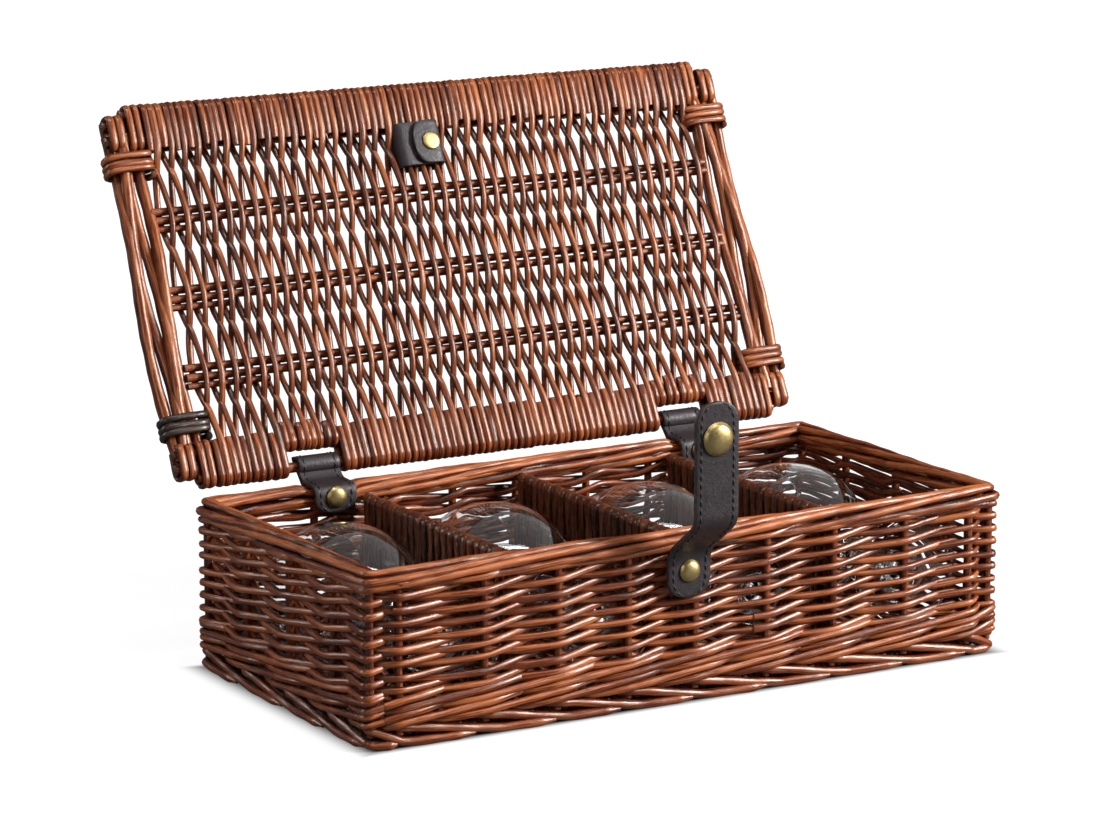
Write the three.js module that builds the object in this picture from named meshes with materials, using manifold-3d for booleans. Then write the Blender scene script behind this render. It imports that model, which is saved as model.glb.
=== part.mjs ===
// A willow picnic basket with a hinged lid, leather loops and strap, three dividers and four stemmed glasses.
// Millimetres, +Z up. The origin is the middle of the base, on the surface that the basket stands on.
// +X runs along the length, and the front, which carries the strap, faces -Y. The lid stands open.
import * as THREE from 'three';
import { mergeVertices } from 'three/addons/utils/BufferGeometryUtils.js';
import Module from 'manifold-3d';

const wasm = await Module();
wasm.setup();

// Clearance between neighbouring pieces, and facets around the round ones
const GAP = 0.3;
const ROD_SIDES = 8;
const PIN_SIDES = 10;
const RIVET_SIDES = 12;
const STUD_SIDES = 16;
const GLASS_SIDES = 18;

// Stemmed glasses, which set the size of the compartments
const BOWL_DIAMETER = 80;
const MOUTH_DIAMETER = 62;
const GLASS_HEIGHT = 148;
const BOWL_HEIGHT = 88;
const BOWL_BELLY = 46;
const STEM_DIAMETER = 7.2;
const GLASS_FOOT_DIAMETER = 66;
const GLASS_FOOT_EDGE = 1.8;
const GLASS_FOOT_RISE = 4;
const GLASS_WALL = 1.6;
const END_SIDE_ROOM = 1.95;
const MIDDLE_SIDE_ROOM = 6.4;
const GLASS_FOOT_ROOM = 1.5;
const GLASS_MOUTH_ROOM = 25.5;
const GLASS_HEAD_ROOM = 6.7;

// Woven body
const BASE_THICKNESS = 10;
const BASE_STICK_PITCH = 20;
const BASE_STICK_LAP = 3.5;
const BASE_VALLEY = 3;
const FOOT_HEIGHT = 12;
const FOOT_PROUD = 1;
const WALL = 9;
const ROW_PITCH = 7;
const STAKE_PITCH = 45;
const STAKE_INSET = 9.7;
const STAKE_HOLLOW = 2.3;
const ROW_DEPTH = 1.2;
const CORNER_RADIUS = 3;
const RIM_WIDTH = 13;
const RIM_HEIGHT = 14;
const RIM_PROUD = 0.5;
const ROD_OVERLAP = 0.3;

// Dividers wrapped with fine skeins
const DIVIDER_THICKNESS = 4.4;
const DIVIDER_DROP = 7.5;
const SKEIN_PITCH = 8;
const SKEIN_DEPTH = 0.7;
const RAIL_RADIUS = 3.6;

// Lid
const LID_OPEN_ANGLE = THREE.MathUtils.degToRad(115.7);
const LID_HINGE_SETBACK = 10;
const LID_RIM_GAP = 1.3;
const LID_FRONT_OVERHANG = 6.8;
const LID_END_OVERHANG = 0.7;
const LID_SHIFT = -4.5;
const BORDER_STICK_RADIUS = 3.2;
const WEAVER_THICKNESS = 2.5;
const BORDER_STICK_SPACING = 14.5;
const LID_PAIR_PITCH = 8.7;
const LID_WEAVER_GROOVE = 0.9;
const LID_BORDER_LAP = 6;
const LID_CROSSING_THICKNESS = 3.4;
const LID_SLOT_WIDTH = 4.4;
const LID_SLOT_WAIST = 1;
const LID_SLOT_ROOM = 1.6;
const INNER_STICK_RADIUS = 2.4;
const INNER_STICK_GROUPS = ['back', 'middle', 'front'];
const END_ROD_RADIUS = 3.3;
const END_ROD_BOWS = [0.6, 1.4, 2.4];
const OUTER_ROD_SETBACK = 8;
const BINDING_LENGTH = 11;
const BINDING_THICKNESS = 2;
const BINDING_SETBACK = 15;

// Leather hinge loops with their rivets
const LOOP_DIVIDER_ROOM = 3.4;
const LOOP_WIDTH = 26;
const LOOP_LEATHER = 2.2;
const LOOP_DROP = 16;
const LOOP_CORNER_RADIUS = 8;
const LOOP_BEND = 1.5;
const LOOP_BACK_TURN = 2.5;
const LOOP_NOTCH_ROOM = 1;
const LOOP_LID_GAP = 0.8;
const HINGE_RIVET_HEAD = 12.5;
const HINGE_RIVET_DOME = 3;
const HINGE_RIVET_TAIL = 7;
const HINGE_RIVET_ROOM = 1;

// Leather strap with its rivet and press stud
const STRAP_DIVIDER_ROOM = 0.8;
const STRAP_WIDTH = 27;
const STRAP_LEATHER = 2.4;
const STRAP_FLEX_RISE = 1.5;
const STRAP_RIVET_DROP = 10.5;
const STRAP_TAIL = 15;
const STRAP_REST_LEAN = THREE.MathUtils.degToRad(53);
const STRAP_LID_ROOM = 2.3;
const STRAP_TIP = 20;
const FLEX_GAP = 0.5;
const STRAP_RIVET_HEAD = 12.5;
const STRAP_RIVET_DOME = 3.2;
const STRAP_RIVET_TAIL = 8;
const RIVET_SHANK = 4;
const RIVET_TAIL_THICKNESS = 1.4;
const SNAP_CAP_DIAMETER = 18.5;
const SNAP_CAP_DOME = 4.5;
const SNAP_TUBE_WALL = 1;
const SNAP_SOCKET_DIAMETER = 11;
const SNAP_SOCKET_BORE = 6.6;
const SNAP_SOCKET_THICKNESS = 1.5;
const SNAP_CLOSED_GAP = 0.5;

// Leather tab through the lid weave, with the press stud's post
const TAB_LEATHER = 1.8;
const TAB_LENGTH = 31;
const TAB_WIDTH = 26;
const TAB_OFFSET = -5;
const TAB_STICK_ROOM = 1.3;
const TAB_DISC_DIAMETER = 11;
const TAB_DISC_THICKNESS = 1.2;
const POST_ROOM = 0.7;
const POST_HEIGHT = 2.8;

// Sizes that follow from the ones above
const GLASS_WIDTH = Math.max(BOWL_DIAMETER, MOUTH_DIAMETER, GLASS_FOOT_DIAMETER);
const DIVIDER_WIDTH = Math.max(DIVIDER_THICKNESS, 2 * RAIL_RADIUS);
const END_COMPARTMENT = GLASS_WIDTH + 2 * END_SIDE_ROOM;
const MIDDLE_COMPARTMENT = GLASS_WIDTH + 2 * MIDDLE_SIDE_ROOM;
const DIVIDER_PITCH = MIDDLE_COMPARTMENT + DIVIDER_WIDTH;
const RIM_OPENING_LENGTH = 2 * END_COMPARTMENT + 2 * MIDDLE_COMPARTMENT + 3 * DIVIDER_WIDTH;
const RIM_OPENING_DEPTH = GLASS_FOOT_ROOM + GLASS_HEIGHT + GLASS_MOUTH_ROOM;
const HALF_LENGTH = RIM_OPENING_LENGTH / 2 + RIM_WIDTH - RIM_PROUD;
const HALF_DEPTH = RIM_OPENING_DEPTH / 2 + RIM_WIDTH - RIM_PROUD;
const GLASS_AXIS_Z = BASE_THICKNESS + GAP + GLASS_WIDTH / 2;
const GLASS_FOOT_Y = -HALF_DEPTH - RIM_PROUD + RIM_WIDTH + GLASS_FOOT_ROOM;
const GLASS_BELLY_Y = GLASS_FOOT_Y + GLASS_HEIGHT - BOWL_HEIGHT + BOWL_BELLY;
const RIM_TOP = BASE_THICKNESS + GAP + GLASS_WIDTH + GLASS_HEAD_ROOM;
const RIM_BOTTOM = RIM_TOP - RIM_HEIGHT;
const FOOT_WIDTH = WALL + FOOT_PROUD;
const DIVIDER_TOP = RIM_TOP - DIVIDER_DROP;

const LID_HALF_THICKNESS = BORDER_STICK_RADIUS + WEAVER_THICKNESS;
const HINGE_Y = HALF_DEPTH + LID_HINGE_SETBACK;
const HINGE_Z = RIM_TOP + LID_RIM_GAP + LID_HALF_THICKNESS;
const LID_FRONT_Y = -HALF_DEPTH - LID_FRONT_OVERHANG;
const FRONT_STICK_REACH = HINGE_Y - LID_FRONT_Y - LID_HALF_THICKNESS;
const BACK_INNER_REACH = BORDER_STICK_SPACING;
const FRONT_INNER_REACH = FRONT_STICK_REACH - BORDER_STICK_SPACING;
const END_ROD_PITCH = 2 * END_ROD_RADIUS + GAP;
const OUTER_ROD_X = HALF_LENGTH + LID_END_OVERHANG - END_ROD_RADIUS;
const INNER_ROD_X = OUTER_ROD_X - 2 * END_ROD_PITCH;
const BORDER_STICK_END = OUTER_ROD_X - END_ROD_RADIUS - GAP;
const LID_WEAVE_END = INNER_ROD_X - END_ROD_RADIUS - 2 * GAP - BINDING_THICKNESS;
const TAB_REACH = FRONT_INNER_REACH - BORDER_STICK_RADIUS - GAP - TAB_STICK_ROOM - TAB_WIDTH / 2;

const LOOP_X = DIVIDER_PITCH + DIVIDER_WIDTH / 2 + LOOP_DIVIDER_ROOM + LOOP_WIDTH / 2;
const RIM_RECESS = LOOP_LEATHER + GAP + LOOP_LID_GAP - LID_RIM_GAP;
const HINGE_RIVET_Z = RIM_TOP - LOOP_BACK_TURN - HINGE_RIVET_ROOM - HINGE_RIVET_TAIL / 2;

const STRAP_X = -DIVIDER_THICKNESS / 2 - STRAP_DIVIDER_ROOM - STRAP_RIVET_TAIL / 2;
const STRAP_FLEX_HEIGHT = RIM_BOTTOM + STRAP_FLEX_RISE;
const STRAP_FLEX_Y = -HALF_DEPTH - RIM_PROUD - GAP - STRAP_LEATHER / 2;
const STRAP_CLOSED_LEAN = Math.atan2(
  STRAP_FLEX_Y - LID_FRONT_Y + STRAP_LID_ROOM + STRAP_LEATHER / 2,
  HINGE_Z - STRAP_FLEX_HEIGHT,
);
const TAB_FACE = LID_HALF_THICKNESS + GAP + TAB_LEATHER;
const SOCKET_REACH = STRAP_LEATHER / 2 + GAP + SNAP_SOCKET_THICKNESS;
const STRAP_CLOSED_HEIGHT = HINGE_Z + TAB_FACE + SNAP_CLOSED_GAP + SOCKET_REACH;
const STRAP_LOWER_LENGTH = (STRAP_CLOSED_HEIGHT - STRAP_FLEX_HEIGHT) / Math.cos(STRAP_CLOSED_LEAN);
const FOLD_CLOSED_Y = STRAP_FLEX_Y - STRAP_LOWER_LENGTH * Math.sin(STRAP_CLOSED_LEAN);
const STRAP_STUD_REACH = HINGE_Y - TAB_REACH - FOLD_CLOSED_Y;
const POST_DIAMETER = SNAP_SOCKET_BORE - 2 * POST_ROOM;
const POST_X = STRAP_X - LID_SHIFT;
const TAB_X = POST_X + TAB_OFFSET;

// Finishes
const WILLOW = { color: 0x8a4526, roughness: 0.42, metalness: 0 };
const DARK_WILLOW = { color: 0x6b3219, roughness: 0.45, metalness: 0 };
const SKEIN = { color: 0x4f2a1a, roughness: 0.5, metalness: 0 };
const LEATHER = { color: 0x33272b, roughness: 0.55, metalness: 0 };
const BRASS = { color: 0x9b8550, roughness: 0.32, metalness: 1 };
const GLASS = { color: 0xeef4f5, roughness: 0.03, metalness: 0, transparent: true, opacity: 0.3 };

const basket = new THREE.Group();

// Adds one named piece to a group
function addPiece(parent, name, geometry, finish) {
  const piece = new THREE.Mesh(geometry, new THREE.MeshStandardMaterial(finish));
  piece.name = name;
  parent.add(piece);
  return piece;
}

// Turns a closed geometry into a solid that can be cut and joined
function toSolid(geometry) {
  const bare = geometry.clone();
  bare.deleteAttribute('normal');
  bare.deleteAttribute('uv');
  const merged = mergeVertices(bare, 1e-4);
  return new wasm.Manifold(new wasm.Mesh({
    numProp: 3,
    vertProperties: new Float32Array(merged.attributes.position.array),
    triVerts: new Uint32Array(merged.index.array),
  }));
}

// Turns a solid back into a geometry
function toGeometry(solid) {
  const mesh = solid.getMesh();
  const geometry = new THREE.BufferGeometry();
  geometry.setAttribute('position', new THREE.BufferAttribute(mesh.vertProperties, 3));
  geometry.setIndex(new THREE.BufferAttribute(mesh.triVerts, 1));
  geometry.computeVertexNormals();
  return geometry;
}

// Cuts a list of tools out of a geometry
function cut(geometry, tools) {
  let solid = toSolid(geometry);
  for (const tool of tools) {
    solid = solid.subtract(toSolid(tool));
  }
  return toGeometry(solid);
}

// Joins geometries that overlap into one
function join(geometries) {
  const solids = geometries.map(toSolid);
  return toGeometry(solids.reduce((whole, solid) => whole.add(solid)));
}

// Keeps only what two geometries share
function keepCommon(geometry, other) {
  return toGeometry(toSolid(geometry).intersect(toSolid(other)));
}

// Box between two corners
function boxBetween(low, high) {
  const box = new THREE.BoxGeometry(high[0] - low[0], high[1] - low[1], high[2] - low[2]);
  return box.translate((low[0] + high[0]) / 2, (low[1] + high[1]) / 2, (low[2] + high[2]) / 2);
}

// Extrudes an outline drawn in (y, z) along X, centred on x = 0
function extrudeX(outline, length, curveSegments = 3, steps = 1) {
  const options = { depth: length, steps, bevelEnabled: false, curveSegments };
  const geometry = new THREE.ExtrudeGeometry(outline, options);
  geometry.translate(0, 0, -length / 2);
  return geometry.applyMatrix4(new THREE.Matrix4().set(0, 0, 1, 0, 1, 0, 0, 0, 0, 1, 0, 0, 0, 0, 0, 1));
}

// Extrudes an outline drawn in (z, x) along Y, centred on y = 0
function extrudeY(outline, length, curveSegments = 3) {
  const geometry = new THREE.ExtrudeGeometry(outline, { depth: length, bevelEnabled: false, curveSegments });
  geometry.translate(0, 0, -length / 2);
  return geometry.applyMatrix4(new THREE.Matrix4().set(0, 1, 0, 0, 0, 0, 1, 0, 1, 0, 0, 0, 0, 0, 0, 1));
}

// Extrudes an outline drawn in (x, y) along Z, from low to high
function extrudeZ(outline, low, high, curveSegments = 3) {
  const options = { depth: high - low, bevelEnabled: false, curveSegments };
  const geometry = new THREE.ExtrudeGeometry(outline, options);
  return geometry.translate(0, 0, low);
}

// Round rod along X
function rodX(radius, length, sides = ROD_SIDES) {
  return new THREE.CylinderGeometry(radius, radius, length, sides).rotateZ(Math.PI / 2);
}

// Round rod along Y
function rodY(radius, length, sides = PIN_SIDES) {
  return new THREE.CylinderGeometry(radius, radius, length, sides);
}

// Rectangle with round corners, around the middle of its own plane
function roundedRectangle(width, height, radius) {
  const shape = new THREE.Shape();
  const x = width / 2 - radius;
  const y = height / 2 - radius;
  shape.absarc(x, y, radius, 0, Math.PI / 2);
  shape.absarc(-x, y, radius, Math.PI / 2, Math.PI);
  shape.absarc(-x, -y, radius, Math.PI, 1.5 * Math.PI);
  shape.absarc(x, -y, radius, 1.5 * Math.PI, 2 * Math.PI);
  shape.closePath();
  return shape;
}

// Outline of four rods that lie in a bundle
function fourRods(width, height) {
  const radius = Math.max(width, height) / 4 + ROD_OVERLAP;
  const x = width / 2 - radius;
  const y = height / 2 - radius;
  const sideReach = Math.sqrt(radius * radius - y * y);
  const topReach = Math.sqrt(radius * radius - x * x);
  const first = Math.atan2(-y, sideReach);
  const last = Math.atan2(topReach, -x);
  const shape = new THREE.Shape();
  shape.absarc(x, y, radius, first, last);
  shape.absarc(-x, y, radius, Math.PI - last, Math.PI - first);
  shape.absarc(-x, -y, radius, Math.PI + first, Math.PI + last);
  shape.absarc(x, -y, radius, -last, -first);
  shape.closePath();
  return shape;
}

// Row of equal bumps along one side of an outline, from where its pen stands
function bumps(shape, from, to, count, bulge) {
  const step = new THREE.Vector2().subVectors(to, from).divideScalar(count);
  for (let i = 0; i < count; i += 1) {
    const middle = from.clone().addScaledVector(step, i + 0.5).add(bulge);
    const end = from.clone().addScaledVector(step, i + 1);
    shape.quadraticCurveTo(middle.x, middle.y, end.x, end.y);
  }
}

// Slab outline, bumpy on both long sides: thickness along the first axis, rows along the second
function bumpySlab(thickness, low, high, count, depth) {
  const valley = thickness / 2 - depth;
  const bulge = new THREE.Vector2(2 * depth, 0);
  const shape = new THREE.Shape();
  shape.moveTo(valley, low);
  bumps(shape, new THREE.Vector2(valley, low), new THREE.Vector2(valley, high), count, bulge);
  shape.lineTo(-valley, high);
  bulge.negate();
  bumps(shape, new THREE.Vector2(-valley, high), new THREE.Vector2(-valley, low), count, bulge);
  return shape;
}

// Band of even thickness along a path, as an outline
function bandOutline(points, thickness) {
  const left = [];
  const right = [];
  points.forEach((point, i) => {
    const before = points[Math.max(i - 1, 0)];
    const after = points[Math.min(i + 1, points.length - 1)];
    const inward = new THREE.Vector2().subVectors(point, before).normalize();
    const outward = new THREE.Vector2().subVectors(after, point).normalize();
    const along = new THREE.Vector2().addVectors(inward, outward).normalize();
    const normal = new THREE.Vector2(-along.y, along.x);
    const leg = i === 0 ? outward : inward;
    const reach = thickness / 2 / Math.abs(along.dot(leg));
    left.push(point.clone().addScaledVector(normal, reach));
    right.push(point.clone().addScaledVector(normal, -reach));
  });
  return new THREE.Shape([...left, ...right.reverse()]);
}

// Turned piece around Y from (radius, y) points that start and end on the axis or close on themselves
function turned(points, sides) {
  return new THREE.LatheGeometry(points.map(([radius, y]) => new THREE.Vector2(radius, y)), sides);
}

// Rivet along Y: a domed head on the -Y side, a shank, and a flat tail at the far end
function rivet(head, dome, grip, tail) {
  const points = [[0, -dome]];
  const domeSteps = 3;
  for (let i = 1; i <= domeSteps; i += 1) {
    const angle = (i / domeSteps) * Math.PI / 2;
    points.push([head / 2 * Math.sin(angle), -dome * Math.cos(angle)]);
  }
  points.push([RIVET_SHANK / 2, 0], [RIVET_SHANK / 2, grip], [tail / 2, grip]);
  points.push([tail / 2, grip + RIVET_TAIL_THICKNESS], [0, grip + RIVET_TAIL_THICKNESS]);
  return turned(points, RIVET_SIDES);
}

// Cuts the ends of a bar along X at 45 degrees, so that four bars meet in a frame
function mitre(geometry, halfLength, halfDepth) {
  const position = geometry.attributes.position;
  for (let i = 0; i < position.count; i += 1) {
    const inset = halfDepth - Math.abs(position.getY(i));
    position.setX(i, Math.sign(position.getX(i)) * (halfLength - inset - GAP));
  }
  geometry.computeVertexNormals();
  return geometry;
}

// Frame of four bars around the body, given the outer half sizes; returns front, back, left and right
function frameBars(outline, width, centreZ, halfLength, halfDepth) {
  const bar = (halfRun, halfAcross, side) => {
    const geometry = extrudeX(outline, 2 * halfRun);
    geometry.translate(0, side * (halfAcross - width / 2), centreZ);
    return mitre(geometry, halfRun, halfAcross);
  };
  return {
    front: bar(halfLength, halfDepth, -1),
    back: bar(halfLength, halfDepth, 1),
    left: bar(halfDepth, halfLength, 1).rotateZ(Math.PI / 2),
    right: bar(halfDepth, halfLength, -1).rotateZ(Math.PI / 2),
  };
}

// Woven base: it swells over its sticks on both faces, and one stick lies under the bellies of the glasses
function buildBase() {
  const halfX = HALF_LENGTH - WALL - GAP;
  const halfY = HALF_DEPTH - WALL - GAP;
  const reach = halfY - BASE_STICK_LAP;
  const first = Math.ceil((-reach - GLASS_BELLY_Y) / BASE_STICK_PITCH);
  const last = Math.floor((reach - GLASS_BELLY_Y) / BASE_STICK_PITCH);
  const wave = [];
  for (let i = first; i <= last; i += 1) {
    const y = GLASS_BELLY_Y + i * BASE_STICK_PITCH;
    if (i > first) {
      wave.push([y - BASE_STICK_PITCH / 2, BASE_VALLEY]);
    }
    wave.push([i === first ? -halfY : y - BASE_STICK_LAP, 0]);
    wave.push([i === last ? halfY : y + BASE_STICK_LAP, 0]);
  }
  const top = wave.map(([y, depth]) => new THREE.Vector2(y, BASE_THICKNESS - depth));
  const bottom = wave.map(([y, depth]) => new THREE.Vector2(y, depth)).reverse();
  const outline = new THREE.Shape([...top, ...bottom]);
  addPiece(basket, 'base_panel', extrudeX(outline, 2 * halfX), DARK_WILLOW);
}

// Foot border of thick rods under the walls
function buildFoot() {
  const outline = fourRods(FOOT_WIDTH, FOOT_HEIGHT);
  const outerX = HALF_LENGTH + FOOT_PROUD;
  const outerY = HALF_DEPTH + FOOT_PROUD;
  const bars = frameBars(outline, FOOT_WIDTH, FOOT_HEIGHT / 2, outerX, outerY);
  for (const [side, geometry] of Object.entries(bars)) {
    addPiece(basket, `foot_border_${side}`, geometry, DARK_WILLOW);
  }
}

// Wall panel: rows of weavers along X, which swell where they pass the stakes and draw in between them
function wallPanel(outline, length) {
  const reach = length / 2 - STAKE_INSET;
  const spans = Math.round(2 * reach / STAKE_PITCH);
  const steps = 2 * spans + 2;
  const geometry = extrudeX(outline, length, 2, steps);
  const position = geometry.attributes.position;
  for (let i = 0; i < position.count; i += 1) {
    const ring = Math.round((position.getX(i) / length + 0.5) * steps);
    if (ring > 0 && ring < steps) {
      position.setX(i, reach * ((ring - 1) / spans - 1));
      const y = position.getY(i);
      position.setY(i, Math.sign(y) * (Math.abs(y) - (ring % 2 === 0 ? STAKE_HOLLOW : 0)));
    }
  }
  return geometry;
}

// Woven walls between the corner posts; the strap's rivet goes through the front one
function buildWalls() {
  const low = FOOT_HEIGHT + GAP;
  const high = RIM_BOTTOM - GAP;
  const rows = Math.round((high - low) / ROW_PITCH);
  const outline = bumpySlab(WALL, low, high, rows, ROW_DEPTH);
  const long = 2 * (HALF_LENGTH - WALL - GAP);
  const short = 2 * (HALF_DEPTH - WALL - GAP);
  const acrossY = HALF_DEPTH - WALL / 2;
  const acrossX = HALF_LENGTH - WALL / 2;
  const rivetHole = rodY(RIVET_SHANK / 2 + GAP, 2 * WALL);
  rivetHole.translate(STRAP_X, -acrossY, STRAP_FLEX_HEIGHT - STRAP_RIVET_DROP);
  const front = cut(wallPanel(outline, long).translate(0, -acrossY, 0), [rivetHole]);
  addPiece(basket, 'wall_front', front, WILLOW);
  addPiece(basket, 'wall_back', wallPanel(outline, long).translate(0, acrossY, 0), WILLOW);
  for (const [side, sign] of [['left', -1], ['right', 1]]) {
    const geometry = wallPanel(outline, short).rotateZ(Math.PI / 2).translate(sign * acrossX, 0, 0);
    addPiece(basket, `wall_${side}`, geometry, WILLOW);
  }
  const post = roundedRectangle(WALL, WALL, CORNER_RADIUS);
  for (const [end, signX] of [['left', -1], ['right', 1]]) {
    for (const [side, signY] of [['front', -1], ['back', 1]]) {
      const geometry = extrudeZ(post, low, high);
      const x = signX * (HALF_LENGTH - WALL / 2);
      const y = signY * (HALF_DEPTH - WALL / 2);
      addPiece(basket, `corner_post_${side}_${end}`, geometry.translate(x, y, 0), WILLOW);
    }
  }
}

// Rim of four rods a side; the back one is recessed and pierced for the two hinge loops
function buildRim() {
  const outline = fourRods(RIM_WIDTH, RIM_HEIGHT);
  const outerX = HALF_LENGTH + RIM_PROUD;
  const outerY = HALF_DEPTH + RIM_PROUD;
  const bars = frameBars(outline, RIM_WIDTH, RIM_TOP - RIM_HEIGHT / 2, outerX, outerY);
  const tools = [];
  const halfRecess = LOOP_WIDTH / 2 + LOOP_NOTCH_ROOM;
  for (const sign of [-1, 1]) {
    const x = sign * LOOP_X;
    const low = [x - halfRecess, outerY - 2 * RIM_WIDTH, RIM_TOP - RIM_RECESS];
    const high = [x + halfRecess, outerY + RIM_WIDTH, RIM_TOP + RIM_HEIGHT];
    tools.push(boxBetween(low, high));
    const hole = rodY(RIVET_SHANK / 2 + GAP, 4 * RIM_WIDTH);
    tools.push(hole.translate(x, outerY, HINGE_RIVET_Z));
  }
  bars.back = cut(bars.back, tools);
  for (const [side, geometry] of Object.entries(bars)) {
    addPiece(basket, `rim_${side}`, geometry, WILLOW);
  }
}

// Three dividers: a skein-wrapped panel under a round rail
function buildDividers() {
  const halfPanel = HALF_DEPTH - WALL - GAP;
  const halfRail = HALF_DEPTH + RIM_PROUD - RIM_WIDTH - GAP;
  const skeins = Math.round(2 * halfPanel / SKEIN_PITCH);
  const panel = bumpySlab(DIVIDER_THICKNESS, -halfPanel, halfPanel, skeins, SKEIN_DEPTH);
  const railZ = DIVIDER_TOP - RAIL_RADIUS;
  const panelTop = Math.min(railZ - RAIL_RADIUS, RIM_BOTTOM) - GAP;
  for (const [name, step] of [['left', -1], ['middle', 0], ['right', 1]]) {
    const x = step * DIVIDER_PITCH;
    const geometry = extrudeZ(panel, BASE_THICKNESS + GAP, panelTop, 2).translate(x, 0, 0);
    addPiece(basket, `divider_panel_${name}`, geometry, SKEIN);
    addPiece(basket, `divider_rail_${name}`, rodY(RAIL_RADIUS, 2 * halfRail).translate(x, 0, railZ), SKEIN);
  }
}

// Point where a band leaves a round stick for a corner, as an angle around the stick
function leavingAngle(corner, centre, radius, side) {
  const toCorner = new THREE.Vector2().subVectors(corner, centre);
  return toCorner.angle() + side * Math.acos(radius / toCorner.length());
}

// Leather loops that hold the lid's back stick to the rim, each closed by a rivet
function buildHinges() {
  const half = LOOP_LEATHER / 2;
  const rimOuter = HALF_DEPTH + RIM_PROUD;
  const rimInner = rimOuter - RIM_WIDTH;
  const innerY = rimInner - GAP - half;
  const outerY = rimOuter + GAP + half;
  const overRim = RIM_TOP - RIM_RECESS + GAP + half;
  const bottom = RIM_TOP - LOOP_DROP;
  const stick = new THREE.Vector2(HINGE_Y, HINGE_Z);
  const wrap = BORDER_STICK_RADIUS + GAP + half;
  const frontTurn = new THREE.Vector2(rimOuter - GAP, overRim);
  const backTurn = new THREE.Vector2(outerY, RIM_TOP - LOOP_BACK_TURN);
  const start = leavingAngle(frontTurn, stick, wrap, -1);
  const end = leavingAngle(backTurn, stick, wrap, 1);
  const path = new THREE.Path();
  path.moveTo(innerY, bottom);
  path.lineTo(innerY, overRim - LOOP_BEND);
  path.absarc(innerY + LOOP_BEND, overRim - LOOP_BEND, LOOP_BEND, Math.PI, Math.PI / 2, true);
  path.lineTo(frontTurn.x, frontTurn.y);
  path.absarc(stick.x, stick.y, wrap, start, end, true);
  path.lineTo(backTurn.x, backTurn.y);
  path.lineTo(outerY, bottom);
  const band = extrudeX(bandOutline(path.getPoints(3), LOOP_LEATHER), LOOP_WIDTH);

  const loopTop = HINGE_Z + wrap + LOOP_LEATHER;
  const front = roundedRectangle(loopTop - bottom, LOOP_WIDTH, LOOP_CORNER_RADIUS);
  const tall = boxBetween([-LOOP_WIDTH, -LOOP_WIDTH, 0], [LOOP_WIDTH, LOOP_WIDTH, loopTop]);
  const frontView = extrudeY(front, 4 * LOOP_WIDTH, 2).translate(0, rimOuter, (loopTop + bottom) / 2);
  const squareTop = tall.translate(0, rimOuter, (loopTop + bottom) / 2);
  const outline = toGeometry(toSolid(frontView).add(toSolid(squareTop)));
  const loop = keepCommon(band, outline);

  const hole = rodY(RIVET_SHANK / 2 + GAP, 4 * LOOP_WIDTH).translate(0, rimOuter, HINGE_RIVET_Z);
  const pierced = cut(loop, [hole]);
  const headY = innerY - half - GAP;
  const grip = outerY + half + GAP - headY;
  for (const [side, sign] of [['left', -1], ['right', 1]]) {
    const x = sign * LOOP_X;
    addPiece(basket, `hinge_loop_${side}`, pierced.clone().translate(x, 0, 0), LEATHER);
    const pin = rivet(HINGE_RIVET_HEAD, HINGE_RIVET_DOME, grip, HINGE_RIVET_TAIL);
    addPiece(basket, `hinge_rivet_${side}`, pin.translate(x, headY, HINGE_RIVET_Z), BRASS);
  }
}

// Strap leather with its middle on z = 0 to z = length, seen from the front as a given outline
function strapLeather(outline, low, high) {
  const half = STRAP_LEATHER / 2;
  const side = new THREE.Shape();
  side.moveTo(half, low);
  side.lineTo(half, high);
  side.lineTo(-half, high);
  side.lineTo(-half, low);
  side.closePath();
  return keepCommon(extrudeX(side, STRAP_WIDTH), outline);
}

// Half-round end that lets one strap part turn against the next
function strapKnuckle() {
  return rodX(STRAP_LEATHER / 2, STRAP_WIDTH, STUD_SIDES);
}

// Strap outline with one round end, from z = low to z = high; the round end is at high
function roundEnded(low, high) {
  const radius = STRAP_WIDTH / 2;
  const shape = new THREE.Shape();
  shape.moveTo(low, -radius);
  shape.lineTo(high - radius, -radius);
  shape.absarc(high - radius, 0, radius, -Math.PI / 2, Math.PI / 2);
  shape.lineTo(low, radius);
  shape.closePath();
  return extrudeY(shape, 2 * STRAP_WIDTH, 8);
}

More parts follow.
